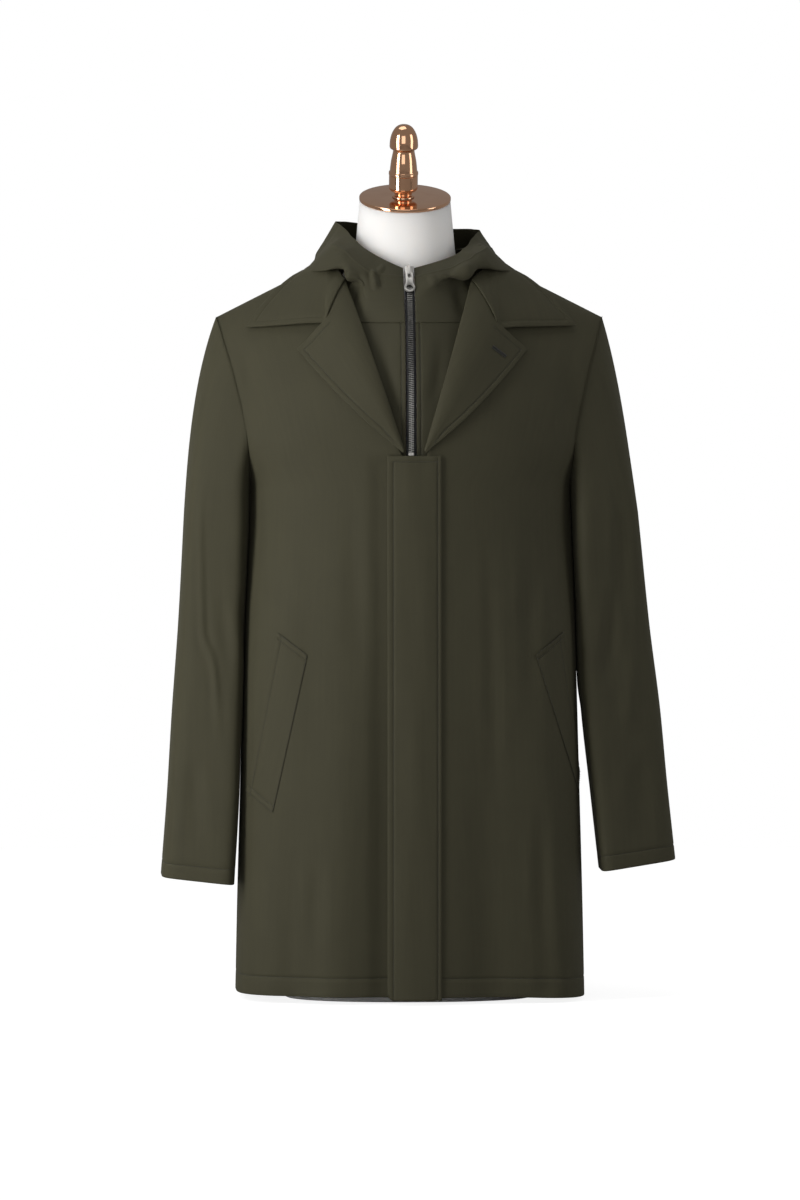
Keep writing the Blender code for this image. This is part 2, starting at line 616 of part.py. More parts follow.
def collar_half(side):
    """Half the collar from its front edge to the centre back, each row from the neck out."""
    spans, columns = COLLAR_SPANS
    corners = []
    for out, height in (GORGE_TOP, COLLAR_NOTCH, COLLAR_POINT):
        corners.append((out, float(coat_y(out, height, FRONT))))
    gorge, notch, point = np.array(corners)
    inner = route([gorge, *COLLAR_INNER], spans)[:, None]
    outer = route([point, *COLLAR_OUTER], spans)[:, None]
    across = np.linspace(0, 1, columns + 1)[None, :, None]
    back = np.linspace(0, 1, spans + 1)[:, None, None]
    front_edge_share = np.interp(across[0, :, 0], [0, 0.4, 1], [0, 1, 2])
    front_row = np.stack(
        [np.interp(front_edge_share, [0, 1, 2], [gorge[k], notch[k], point[k]]) for k in (0, 1)], axis=-1
    )
    straight = gorge + (point - gorge) * across[0]
    plan = inner + (outer - inner) * across + (1 - back) ** 2 * (front_row - straight)[None]
    swell = COLLAR_ROLL * 6.75 * across[..., 0] * (1 - across[..., 0]) ** 2
    lift = COLLAR_LIFT + swell + np.zeros(plan.shape[:2])
    return shoulder_point(side * plan[..., 0], plan[..., 1], lift)


def add_collar():
    right, left = collar_half(RIGHT), collar_half(LEFT)
    net = np.concatenate([right, left[-2::-1]])
    net = pull_back(net, rows=[0, -1], gap=0.0014)
    add_sheet("collar", net, -1, CLOTH, "coating")


def add_placket():
    rows, columns = PLACKET_SPANS
    x, z = np.meshgrid(
        np.linspace(-PLACKET_HALF, PLACKET_HALF, columns + 1), np.linspace(PLACKET_BOTTOM, BREAK, rows + 1)
    )
    net = coat_point(x, z, FRONT, LAYER_GAP + PLACKET_THICK)
    add_sheet("placket", net, -1, PLACKET_THICK, "coating")


def add_welt(side):
    rows, columns = WELT_SPANS
    top_out, top_in, low_in, low_out = np.array(WELT_CORNERS[side])
    down = np.linspace(0, 1, rows + 1)[:, None, None]
    across = np.linspace(0, 1, columns + 1)[None, :, None]
    top = top_in + (top_out - top_in) * across
    low = low_in + (low_out - low_in) * across
    view = top + (low - top) * down
    net = coat_point(side * view[..., 0], view[..., 1], FRONT, WELT_GAP + CLOTH)
    add_sheet(f"pocket_welt_{SIDE_NAME[side]}", net, side, CLOTH, "coating")


def add_bib(side):
    rows, columns = BIB_SPANS
    z = np.linspace(BIB_BOTTOM, BIB_TOP, rows + 1)[:, None] + np.zeros(columns + 1)
    width = np.linspace(BIB_HALF_WIDTH[0], BIB_HALF_WIDTH[1], rows + 1)[:, None]
    across = np.linspace(0, 1, columns + 1)[None, :]
    x = ZIP_X + side * (ZIP_HALF + (width - ZIP_HALF) * across)
    net = coat_point(x, z, FRONT, -BIB_INSET)
    add_sheet(f"bib_{SIDE_NAME[side]}", net, -side, LIGHT_CLOTH, "bib_cloth")


def zip_strip(name, half, inset, thickness, bottom, top, spans, material):
    x, z = np.meshgrid(ZIP_X + np.array([-half, half]), np.linspace(bottom, top, spans + 1))
    net = coat_point(x, z, FRONT, -inset)
    add_sheet(name, net, -1, thickness, material)


def add_zip():
    half = ZIP_HALF - 2 * SEAM_GAP
    zip_strip("zip_tape", half, TAPE_INSET, TAPE_THICK, BIB_BOTTOM, TAPE_TOP, 14, "zip_tape")
    chain_inset = TAPE_INSET - SEAM_GAP - CHAIN_THICK
    zip_strip("zip_chain", CHAIN_HALF, chain_inset, CHAIN_THICK, CHAIN_BOTTOM, CHAIN_TOP, 14, "zip_metal")
    add_slider()
    add_pull()


def slider_frame():
    """The slider's place: x across, y up along the zip, z out of the tape."""
    inset = TAPE_INSET - 2 * SEAM_GAP
    low = coat_point(ZIP_X, SLIDER_HEIGHT - SLIDER_LENGTH / 2, FRONT, -inset)
    high = coat_point(ZIP_X, SLIDER_HEIGHT + SLIDER_LENGTH / 2, FRONT, -inset)
    up = Vector((0, high[1] - low[1], high[2] - low[2])).normalized()
    across = Vector((1, 0, 0))
    frame = Matrix((across, up, across.cross(up))).transposed().to_4x4()
    frame.translation = Vector((low + high) / 2)
    return frame


def add_slider():
    """A rounded plate with the bridge that holds the pull."""
    shape = bmesh.new()
    bmesh.ops.create_cube(shape, size=1)
    bmesh.ops.scale(shape, vec=(SLIDER_WIDTH, SLIDER_LENGTH, SLIDER_THICK), verts=shape.verts)
    bmesh.ops.translate(shape, vec=(0, 0, SLIDER_THICK / 2), verts=shape.verts)
    for vert in shape.verts:
        if vert.co.y < 0:
            vert.co.x *= 0.72
    slider = add_mesh("zip_slider", shape, "zip_metal")
    bevel = slider.modifiers.new("Rounded edges", "BEVEL")
    bevel.width, bevel.segments = 0.0006, 2
    bridge = bpy.data.curves.new("zip_bridge", "CURVE")
    bridge.dimensions = "2D"
    bridge.fill_mode = "BOTH"
    bridge.extrude = BRIDGE_WIDTH / 2
    low, high = BRIDGE_ENDS
    corner, foot, rise = 0.0013, -0.0008, BRIDGE_RISE
    outline = [
        (low, foot), (low, rise - corner), (low + corner, rise), (high - corner, rise), (high, rise - corner),
        (high, foot), (high - BRIDGE_BAR, foot), (high - BRIDGE_BAR, rise - BRIDGE_BAR),
        (low + BRIDGE_BAR, rise - BRIDGE_BAR), (low + BRIDGE_BAR, foot),
    ]
    spline = bridge.splines.new("POLY")
    spline.points.add(len(outline) - 1)
    for point, (y, z) in zip(spline.points, outline):
        point.co = (y, z, 0, 1)
    spline.use_cyclic_u = True
    upright = Matrix(((0, 0, 1, 0), (1, 0, 0, 0), (0, 1, 0, SLIDER_THICK), (0, 0, 0, 1)))
    cutter = mesh_from_curve("zip_bridge_part", bridge, upright)
    join = slider.modifiers.new("Bridge", "BOOLEAN")
    join.operation, join.object = "UNION", cutter
    slider.matrix_world = slider_frame()
    cutter.matrix_world = slider_frame()


def mesh_from_curve(name, curve, place):
    """A closed helper mesh from a filled curve, kept out of the render."""
    source = bpy.data.objects.new(name + "_curve", curve)
    bpy.data.collections["helpers"].objects.link(source)
    mesh = bpy.data.meshes.new_from_object(source.evaluated_get(bpy.context.evaluated_depsgraph_get()))
    bpy.data.objects.remove(source)
    shape = bmesh.new()
    shape.from_mesh(mesh)
    bmesh.ops.transform(shape, matrix=place, verts=shape.verts)
    bmesh.ops.remove_doubles(shape, verts=shape.verts, dist=0.00001)
    bmesh.ops.recalc_face_normals(shape, faces=shape.faces)
    shape.to_mesh(mesh)
    shape.free()
    helper = bpy.data.objects.new(name, mesh)
    bpy.data.collections["helpers"].objects.link(helper)
    helper.hide_render = True
    helper.display_type = "WIRE"
    return helper


def arc(centre, radius, start, end, steps):
    turns = np.radians(np.linspace(start, end, steps + 1))
    return [(centre[0] + radius * math.cos(t), centre[1] + radius * math.sin(t)) for t in turns]


def add_pull():
    """A flat tab that hangs by its top rung, with a slot for the bridge and a ring at its end."""
    outline = bpy.data.curves.new("zip_pull", "CURVE")
    outline.dimensions = "2D"
    outline.fill_mode = "BOTH"
    outline.extrude = PULL_THICK / 2
    half, top = PULL_WIDTH / 2 - 0.0008, PULL_RUNG
    ring = (0, -PULL_LENGTH + PULL_RING_OUTER)
    waist = ring[1] + PULL_RING_OUTER + 0.0010
    edge = [(half, waist), (half, top), (-half, top), (-half, waist)]
    edge += arc(ring, PULL_RING_OUTER, 140, 400, 14)
    slot_low = -PULL_RUNG - PULL_SLOT_LENGTH
    slot = [(-PULL_SLOT_HALF, -PULL_RUNG), (PULL_SLOT_HALF, -PULL_RUNG)]
    slot += arc((0, slot_low + PULL_SLOT_HALF), PULL_SLOT_HALF, 0, -180, 6)
    hole = arc(ring, PULL_RING_HOLE, 0, 360 - 360 / 16, 15)
    for points in (edge, slot, hole):
        spline = outline.splines.new("POLY")
        spline.points.add(len(points) - 1)
        for point, (x, y) in zip(spline.points, points):
            point.co = (x, y, 0, 1)
        spline.use_cyclic_u = True
    pull = add_object("zip_pull", outline, "zip_metal")
    axis = Vector((0, PULL_AXIS_Y, SLIDER_THICK + PULL_AXIS_Z))
    pull.matrix_world = slider_frame() @ Matrix.Translation(axis) @ Matrix.Rotation(PULL_LEAN, 4, "X")


def hood_half(side):
    """Half the hood: a profile in each upright plane from the zip round to the centre back."""
    turns, profile_spans = HOOD_SPANS
    columns = {name: table_curve(HOOD_SECTIONS, name) for name in HoodSection._fields[1:]}
    outer_share = np.linspace(-1.2, 1, profile_spans + 1)
    net = []
    for turn in np.linspace(0, 180, turns + 1):
        profile = []
        for place in ("seam", "under", "fold", "roll", "edge"):
            profile.append((columns[place + "_r"](turn), columns[place + "_z"](turn)))
        radius, height = rounded_profile(profile, profile_spans).T
        angle = math.radians(turn)
        aside = SEAM_GAP / 2 + (ZIP_HALF - SEAM_GAP / 2) * max(0, math.cos(angle))
        x = ZIP_X * max(0, math.cos(angle)) ** 4 + side * (aside + radius * math.sin(angle))
        lean = -side * HOOD_LEAN * math.sin(angle) * smooth_step(outer_share)
        net.append(np.stack([x, NECK_Y - radius * math.cos(angle), height + lean], axis=-1))
    return np.array(net)


def rounded_profile(points, spans):
    """Points on a rounded curve through a profile's corners."""
    points = np.array(points, float)
    padded = np.concatenate([2 * points[:1] - points[1:2], points, 2 * points[-1:] - points[-2:-1]])
    found = []
    for share in np.linspace(0, len(points) - 1, spans + 1):
        i = min(int(share), len(points) - 2)
        t = share - i
        a, b, c, d = padded[i : i + 4]
        found.append(b + 0.5 * t * (c - a + t * (2 * a - 5 * b + 4 * c - d + t * (3 * (b - c) + d - a))))
    return np.array(found)


def add_hood(side):
    net = hood_half(side)
    normals = net_normals(net, -side)
    normals[-1, :, 0] = 0
    add_wall(f"hood_{SIDE_NAME[side]}", net, net - LIGHT_CLOTH * unit(normals), "bib_cloth")


def form_ring(height):
    """A ring of the torso: front from the right side to the left, then back again."""
    half = FORM_SIDES // 2
    slope_reach = (RIDGE_CENTRE - FORM_DROP - height) / SHOULDER_SLOPE
    reach = math.sqrt(slope_reach ** 2 - RIDGE_ROUND ** 2)
    width = min(float(form_half_width(height)), reach)
    x = -width * np.cos(np.linspace(0, math.pi, half + 1))
    lines = {}
    for face in (FRONT, BACK):
        drop = (ridge_height(x) - FORM_DROP - height) / SHOULDER_REACH[face]
        side = superellipse(x / form_half_width(height), SIDE_POWER)
        shoulder = superellipse(1 - np.clip(drop, 0, 1), SHOULDER_POWER[face])
        lines[face] = np.stack([x, face * form_section[face](height) * side * shoulder], axis=-1)
        lines[face][[0, -1], 1] = 0
    return np.concatenate([lines[FRONT], lines[BACK][-2:0:-1]])


def neck_ring(share):
    """A ring of the neck, level at its base and leaning forward at the cap."""
    turn = np.linspace(0, 2 * math.pi, FORM_SIDES, endpoint=False)
    radius = NECK_BASE_RADIUS + (NECK_TOP_RADIUS - NECK_BASE_RADIUS) * share
    lean = NECK_LEAN * smooth_step(share)
    x = NECK_X - radius * np.cos(turn)
    y = NECK_Y - radius * np.sin(turn)
    rise = NECK_BASE + (NECK_TOP - NECK_BASE) * share + (y - NECK_Y) * math.tan(lean)
    return np.stack([x, y, rise], axis=-1)


def add_form():
    rings = []
    for height in FORM_HEIGHTS:
        plan = form_ring(height)
        if height == 0:
            plan = plan * (1 - FORM_FOOT_ROUND / FORM_SECTIONS[0].half_width)
        blend = smooth_step((height - NECK_BLEND) / (NECK_BASE - NECK_BLEND))
        plan = plan + (neck_ring(0)[:, :2] - plan) * blend
        rings.append(np.column_stack([plan, np.full(FORM_SIDES, height)]))
    rings += [neck_ring(share) for share in (0, 0.25, 0.5, 0.75, 1)]
    shape = bmesh.new()
    levels = [[shape.verts.new(point) for point in ring] for ring in rings]
    for low, high in zip(levels, levels[1:]):
        for i in range(FORM_SIDES):
            j = (i + 1) % FORM_SIDES
            shape.faces.new((low[i], low[j], high[j], high[i]))
    shape.faces.new(levels[0][::-1])
    shape.faces.new(levels[-1])
    add_mesh("form_body", shape, "form_cover")


def add_turned(name, profile, material, place):
    """A piece turned about its own z axis; the profile runs from the top down."""
    mesh = bpy.data.meshes.new(name)
    mesh.from_pydata([(r, 0, z) for r, z in profile], [(i, i + 1) for i in range(len(profile) - 1)], [])
    part = add_object(name, mesh, material)
    screw = part.modifiers.new("Turned", "SCREW")
    screw.steps = screw.render_steps = TURNED_STEPS
    screw.use_merge_vertices = True
    screw.merge_threshold = 0.00001
    screw.use_smooth_shade = True
    part.matrix_world = place
    return part


def add_form_top():
    """The cap plate and its finial, square to the leaning top of the neck."""
    place = Matrix.Translation((NECK_X, NECK_Y, NECK_TOP)) @ Matrix.Rotation(NECK_LEAN, 4, "X")
    low, high = SEAM_GAP, SEAM_GAP + CAP_THICK
    cap = [(0, high), (CAP_RADIUS - CAP_ROUND, high), (CAP_RADIUS, high - CAP_ROUND)]
    cap += [(CAP_RADIUS, low + CAP_ROUND), (CAP_RADIUS - CAP_ROUND, low), (0, low)]
    add_turned("form_cap", cap, "copper", place)
    finial = [(radius, high + height) for radius, height in FINIAL_PROFILE]
    add_turned("form_finial", finial, "copper", place)


def main():
    for old in list(bpy.data.objects):
        bpy.data.objects.remove(old)
    for name in ("overcoat_on_form", "helpers"):
        bpy.context.scene.collection.children.link(bpy.data.collections.new(name))
    for side in (RIGHT, LEFT):
        add_front(side)
        add_sleeve(side)
        add_lapel(side)
        add_welt(side)
        add_bib(side)
        add_hood(side)
    add_back()
    add_collar()
    add_placket()
    add_zip()
    add_form()
    add_form_top()


main()
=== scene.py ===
import json
import math

import bmesh
import bpy
import numpy as np
from mathutils import Matrix, Vector

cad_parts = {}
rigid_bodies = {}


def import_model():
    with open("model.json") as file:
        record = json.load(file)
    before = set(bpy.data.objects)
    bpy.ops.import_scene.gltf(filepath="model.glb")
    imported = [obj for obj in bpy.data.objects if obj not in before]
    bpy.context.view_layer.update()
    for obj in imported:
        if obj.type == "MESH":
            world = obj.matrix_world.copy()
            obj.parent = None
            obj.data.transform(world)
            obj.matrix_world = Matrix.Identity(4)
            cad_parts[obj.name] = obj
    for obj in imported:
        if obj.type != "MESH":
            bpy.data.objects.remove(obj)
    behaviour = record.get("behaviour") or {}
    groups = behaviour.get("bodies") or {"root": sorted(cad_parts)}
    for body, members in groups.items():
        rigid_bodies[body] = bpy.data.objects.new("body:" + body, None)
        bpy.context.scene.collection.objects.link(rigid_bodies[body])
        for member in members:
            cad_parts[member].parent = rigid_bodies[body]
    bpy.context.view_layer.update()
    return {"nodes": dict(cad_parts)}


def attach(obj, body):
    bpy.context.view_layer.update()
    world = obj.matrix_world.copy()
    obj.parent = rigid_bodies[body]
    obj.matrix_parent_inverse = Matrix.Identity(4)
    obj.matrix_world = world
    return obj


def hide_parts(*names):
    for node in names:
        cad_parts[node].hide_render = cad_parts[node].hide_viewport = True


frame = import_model()
print("frame:", len(frame["nodes"]), "solids")

faceFront, faceBack = -1, 1
wearerRight, wearerLeft = -1, 1
sideWord = {wearerRight: "Right", wearerLeft: "Left"}
sewnLines = {"coat": [], "bib": []}  # thread paths, filled as the pieces are cut


def unit(vectors):
    return vectors / np.maximum(np.linalg.norm(vectors, axis=-1, keepdims=True), 1e-12)


def smoothStep(value):
    value = np.clip(value, 0, 1)
    return value * value * (3 - 2 * value)


def roundOff(part, power):  # 1 in the middle, 0 at the rim
    return (1 - np.clip(np.abs(part), 0, 1) ** power) ** (1 / power)


def smoothCurve(places, values):  # through the values without overshoot
    places, values = np.array(places, float), np.array(values, float)
    steps = np.diff(places)
    rates = np.diff(values) / steps
    slopes = np.concatenate([rates[:1], np.zeros(len(rates) - 1), rates[-1:]])
    for i in range(1, len(rates)):
        if rates[i - 1] * rates[i] > 0:
            slopes[i] = 2 * rates[i - 1] * rates[i] / (rates[i - 1] + rates[i])

    def value(place):
        place = np.clip(place, places[0], places[-1])
        i = np.clip(np.searchsorted(places, place, side="right") - 1, 0, len(steps) - 1)
        t = (place - places[i]) / steps[i]
        start = values[i] * (1 + 2 * t) + slopes[i] * steps[i] * t
        end = values[i + 1] * (3 - 2 * t) + slopes[i + 1] * steps[i] * (t - 1)
        return start * (1 - t) ** 2 + end * t ** 2

    return value


def alongRoute(points, shares):
    points = np.array(points, float)
    along = np.concatenate([[0], np.cumsum(np.linalg.norm(np.diff(points, axis=0), axis=1))])
    wanted = np.asarray(shares) * along[-1]
    return np.stack([smoothCurve(along, points[:, k])(wanted) for k in range(points.shape[1])], axis=-1)


def netNormals(net, wound):
    return wound * unit(np.cross(np.gradient(net, axis=0), np.gradient(net, axis=1)))


def withLines(places, lines, step=0.0007):  # a few places close together at each sewn line
    places = np.asarray(places, float)
    for line in lines:
        places = np.concatenate([places[np.abs(places - line) > 3.2 * step], line + step * np.arange(-2, 3)])
    return np.sort(places)


sewing = {"grooveDeep": 0.0008, "grooveWide": 0.0009, "slack": 0.0004, "edgeBand": 0.014, "edgePlaces": 8}


def groove(distance):  # cloth drawn in along a row of stitches
    return sewing["grooveDeep"] * np.exp(-((distance / sewing["grooveWide"]) ** 2))


def edgePlaces(stitch):  # distances from a free edge, close together at its stitches
    return withLines(np.linspace(0, sewing["edgeBand"], sewing["edgePlaces"]), [stitch])


def rollShape(height, across):  # full height a third of the way across
    return height * 6.75 * across * (1 - across) ** 2


def foldLine(width, height, *line, tips=(0, 0)):  # a tip of 1 keeps the crease full at that end
    return {"line": line, "width": width, "height": height, "tips": tips}


def creaseHeight(a, b, creases):
    total = np.zeros(np.broadcast(a, b).shape)
    for crease in creases:
        line = alongRoute(crease["line"], np.linspace(0, 1, 25))
        nearest = np.full(total.shape, 1e9)
        place = np.zeros(total.shape)
        for k in range(len(line) - 1):
            step = line[k + 1] - line[k]
            t = np.clip(((a - line[k, 0]) * step[0] + (b - line[k, 1]) * step[1]) / (step @ step), 0, 1)
            far = np.hypot(a - line[k, 0] - t * step[0], b - line[k, 1] - t * step[1])
            place = np.where(far < nearest, (k + t) / (len(line) - 1), place)
            nearest = np.minimum(far, nearest)
        tips = crease["tips"]
        fade = smoothStep(place / 0.35 + tips[0]) * smoothStep((1 - place) / 0.35 + tips[1])
        uneven = 1 + 0.22 * np.sin(9 * place + 50 * crease["width"] * 7)
        width = crease["width"] * (0.85 + 0.3 * place)
        shape = np.exp(-((nearest / width) ** 2)) - 0.28 * np.exp(-(((nearest / width - 1.9) / 0.8) ** 2))
        total += crease["height"] * fade * uneven * shape
    return total


coat = {
    "cloth": 0.0020, "lightCloth": 0.0010, "seamGap": 0.0003, "layerGap": 0.0008,
    "hem": 0.009, "underarm": 0.605, "backNeck": 0.864, "neckX": 0.088, "tipX": 0.2285,
    "ridgeTop": 0.9238, "slope": 0.5122, "ridgeRound": 0.030,
    "sidePower": {faceFront: 3.2, faceBack: 2.3},
    "lowSquare": {faceFront: 1.1, faceBack: 0}, "lowFrom": 0.56, "lowBlend": 0.16,
    "flatSlope": {faceFront: 0.20, faceBack: 0}, "flatRound": 0.030,
    "reach": {faceFront: 0.200, faceBack: 0.170}, "power": {faceFront: 1.7, faceBack: 1.8},
    "height": [0.000, 0.120, 0.250, 0.400, 0.520, 0.605, 0.666, 0.720, 0.772, 0.880],
    "halfWidth": [0.2065, 0.2040, 0.2005, 0.1965, 0.1930, 0.1900, 0.2150, 0.2320, 0.2500, 0.2750],
    faceFront: [0.1500, 0.1505, 0.1510, 0.1490, 0.1470, 0.1450, 0.1435, 0.1420, 0.1405, 0.1400],
    faceBack: [0.1520, 0.1520, 0.1500, 0.1410, 0.1370, 0.1360, 0.1340, 0.1320, 0.1290, 0.1250],
    "armholeHeight": [0.605, 0.638, 0.666, 0.693, 0.720, 0.748, 0.772],
    "armholeOut": [0.1900, 0.1908, 0.1935, 0.1985, 0.2045, 0.2115, 0.2185],
    # soft folds: face, x at top and bottom, top, bottom, width, height
    "folds": [
        (faceFront, -0.100, -0.096, 0.40, 0.009, 0.026, 0.0042),
        (faceFront, -0.140, -0.142, 0.27, 0.009, 0.018, -0.0045),
        (faceFront, 0.075, 0.092, 0.50, 0.009, 0.026, -0.0060),
        (faceFront, 0.152, 0.184, 0.52, 0.009, 0.034, 0.0130),
        (faceFront, -0.194, -0.186, 0.79, 0.66, 0.011, -0.0050),
        (faceFront, 0.190, 0.180, 0.79, 0.62, 0.012, -0.0060),
        (faceBack, -0.070, -0.085, 0.46, 0.009, 0.026, -0.0060),
        (faceBack, -0.020, -0.015, 0.40, 0.009, 0.024, 0.0050),
        (faceBack, 0.050, 0.062, 0.48, 0.009, 0.026, -0.0060),
        (faceBack, 0.120, 0.135, 0.36, 0.009, 0.022, 0.0045),
        (faceBack, -0.175, -0.170, 0.76, 0.62, 0.014, -0.0060),
        (faceBack, 0.172, 0.168, 0.76, 0.61, 0.014, -0.0060),
    ],
    # finer creases, listed as lines down the front view
    "creases": {
        faceFront: [
            foldLine(0.014, -0.0012, (-0.128, 0.60), (-0.122, 0.42), (-0.116, 0.20)),
            foldLine(0.010, -0.0012, (-0.075, 0.62), (-0.070, 0.50), (-0.066, 0.36)),
            foldLine(0.010, -0.0012, (-0.165, 0.56), (-0.150, 0.49), (-0.120, 0.44)),
            foldLine(0.008, -0.0013, (0.086, 0.60), (0.090, 0.45), (0.098, 0.20)),
            foldLine(0.009, -0.0016, (0.140, 0.62), (0.136, 0.50), (0.142, 0.30)),
            foldLine(0.011, -0.0014, (0.168, 0.60), (0.150, 0.50), (0.118, 0.42)),
            foldLine(0.009, -0.0022, (0.150, 0.26), (0.152, 0.14), (0.158, 0.02), tips=(0, 1)),
            foldLine(0.009, -0.0020, (-0.112, 0.20), (-0.116, 0.10), (-0.118, 0.02), tips=(0, 1)),
        ],
        faceBack: [
            foldLine(0.014, -0.0018, (-0.115, 0.64), (-0.100, 0.50), (-0.105, 0.34)),
            foldLine(0.014, -0.0018, (0.110, 0.62), (0.095, 0.48), (0.100, 0.30)),
            foldLine(0.012, -0.0014, (-0.150, 0.56), (-0.080, 0.50), (-0.020, 0.49)),
            foldLine(0.012, -0.0014, (0.150, 0.55), (0.085, 0.49), (0.020, 0.47)),
            foldLine(0.011, -0.0022, (0.015, 0.30), (0.020, 0.14), (0.026, 0.02), tips=(0, 1)),
            foldLine(0.010, 0.0018, (-0.050, 0.26), (-0.052, 0.12), (-0.055, 0.02), tips=(0, 1)),
        ],
    },
    "bodyRows": 110, "armholeRows": 48, "columns": 84,
    "hemStitch": 0.0225, "hemDrop": {wearerRight: 0, wearerLeft: 0.0045},
}
coat["tip"] = coat["ridgeTop"] - coat["slope"] * math.hypot(coat["tipX"], coat["ridgeRound"])
coat["neck"] = coat["ridgeTop"] - coat["slope"] * math.hypot(coat["neckX"], coat["ridgeRound"])
halfWidthAt = smoothCurve(coat["height"], coat["halfWidth"])
depthAt = {face: smoothCurve(coat["height"], coat[face]) for face in (faceFront, faceBack)}
armholeAt = smoothCurve(coat["armholeHeight"] + [coat["tip"]], coat["armholeOut"] + [coat["tipX"]])


def ridgeHeight(x):
    return coat["ridgeTop"] - coat["slope"] * np.hypot(x, coat["ridgeRound"])


def foldHeight(x, z, face):
    total = np.zeros(np.broadcast(x, z).shape)
    for own, topX, lowX, top, low, width, height in coat["folds"]:
        if own == face:
            down = np.clip((top - z) / (top - low), 0, 1)
            strength = smoothStep(down) if low <= coat["hem"] else np.sin(math.pi * down) ** 2
            total += height * strength * np.exp(-(((x - topX - (lowX - topX) * down) / width) ** 2))
    return total + creaseHeight(x, z, coat["creases"][face])


def sidePowerAt(z, face):  # the front hangs flatter below the waist
    low = smoothStep((coat["lowFrom"] - z) / coat["lowBlend"])
    return coat["sidePower"][face] + coat["lowSquare"][face] * low


def coatY(x, z, face):
    drop = (ridgeHeight(x) - z) / coat["reach"][face]
    side = roundOff(x / halfWidthAt(z), sidePowerAt(z, face))
    shoulder = roundOff(1 - np.clip(drop, 0, 1), coat["power"][face])
    flat = coat["flatSlope"][face] * (np.hypot(x, coat["flatRound"]) - coat["flatRound"])
    folds = foldHeight(x, z, face) * np.minimum(1, 2 * side * shoulder)
    return face * ((depthAt[face](z) - flat) * side * shoulder + folds)


def coatNormal(x, z, face):
    step = 0.0004
    across = (coatY(x + step, z, face) - coatY(x - step, z, face)) / (2 * step)
    upward = (coatY(x, z + step, face) - coatY(x, z - step, face)) / (2 * step)
    return unit(face * np.stack([-across, np.ones_like(across), -upward], axis=-1))


def coatPoint(x, z, face, lift=0.0):
    x, z = np.broadcast_arrays(np.asarray(x, float), np.asarray(z, float))
    points = np.stack([x, coatY(x, z, face), z], axis=-1)
    return points + np.asarray(lift)[..., None] * coatNormal(x, z, face)


def coatHeight(x, y):  # the coat's upper side seen from above
    x, y = np.broadcast_arrays(np.asarray(x, float), np.asarray(y, float))
    height = np.zeros(x.shape)
    for face in (faceFront, faceBack):
        z = ridgeHeight(x) - 0.05
        for _ in range(12):
            flat = coat["flatSlope"][face] * (np.hypot(x, coat["flatRound"]) - coat["flatRound"])
            reach = (depthAt[face](z) - flat) * roundOff(x / halfWidthAt(z), sidePowerAt(z, face))
            inward = roundOff(np.minimum(np.abs(y) / reach, 0.999), coat["power"][face])
            z = ridgeHeight(x) - coat["reach"][face] * (1 - inward)
        height = np.where(y * face >= 0, z, height)
    return height


def shoulderPoint(x, y, lift):
    step = 0.0006
    across = (coatHeight(x + step, y) - coatHeight(x - step, y)) / (2 * step)
    back = (coatHeight(x, y + step) - coatHeight(x, y - step)) / (2 * step)
    normal = unit(np.stack([-across, -back, np.ones_like(across)], axis=-1))
    return np.stack([x, y, coatHeight(x, y)], axis=-1) + np.asarray(lift)[..., None] * normal


def drawIn(net, rows=(), columns=(), gap=None):  # half a seam's gap off the named rims
    gap = coat["seamGap"] / 2 if gap is None else gap
    net = net.copy()
    for end in rows:
        net[end] += gap * unit(net[1 if end == 0 else -2] - net[end])
    for end in columns:
        net[:, end] += gap * unit(net[:, 1 if end == 0 else -2] - net[:, end])
    return net


# shared effects for the cloths


def newGroup(name, inputs, outputs):
    group = bpy.data.node_groups.new(name, "ShaderNodeTree")
    for socket, kind, value in inputs:
        made = group.interface.new_socket(name=socket, in_out="INPUT", socket_type=kind)
        if value is not None:
            made.default_value = value
    for socket in outputs:
        group.interface.new_socket(name=socket, in_out="OUTPUT", socket_type="NodeSocketFloat")
    return group, group.nodes.new("NodeGroupInput"), group.nodes.new("NodeGroupOutput")


def addNode(tree, kind, **fixed):
    node = tree.nodes.new(kind)
    for socket, value in fixed.items():
        node.inputs[socket.replace("_", " ")].default_value = value
    return node


def mathNode(tree, operation, first, second=None):
    node = tree.nodes.new("ShaderNodeMath")
    node.operation = operation
    for socket, value in zip(node.inputs, (first, second)):
        if value is None:
            continue
        if isinstance(value, (int, float)):
            socket.default_value = value
        else:
            tree.links.new(value, socket)
    return node.outputs[0]


def twillGroup():  # slanting ribs of a steep twill, from a map in metres
    group, inside, outside = newGroup(
        "steepTwill",
        [("Map", "NodeSocketVector", None), ("Pitch", "NodeSocketFloat", 0.0009),
         ("Slant", "NodeSocketFloat", 1.1)],
        ["Rib", "Yarn"],
    )
    parts = group.nodes.new("ShaderNodeSeparateXYZ")
    group.links.new(inside.outputs["Map"], parts.inputs[0])
    across = mathNode(group, "MULTIPLY", parts.outputs[0], mathNode(group, "SINE", inside.outputs["Slant"]))
    along = mathNode(group, "MULTIPLY", parts.outputs[1], mathNode(group, "COSINE", inside.outputs["Slant"]))
    place = mathNode(group, "SUBTRACT", across, along)
    turns = mathNode(group, "DIVIDE", mathNode(group, "MULTIPLY", place, 2 * math.pi), inside.outputs["Pitch"])
    wave = mathNode(group, "MULTIPLY", mathNode(group, "SINE", turns), 0.5)
    group.links.new(mathNode(group, "ADD", wave, 0.5), outside.inputs["Rib"])
    yarn = addNode(group, "ShaderNodeTexNoise", Scale=1100, Detail=2)
    group.links.new(inside.outputs["Map"], yarn.inputs["Vector"])
    group.links.new(yarn.outputs[0], outside.inputs["Yarn"])
    return group


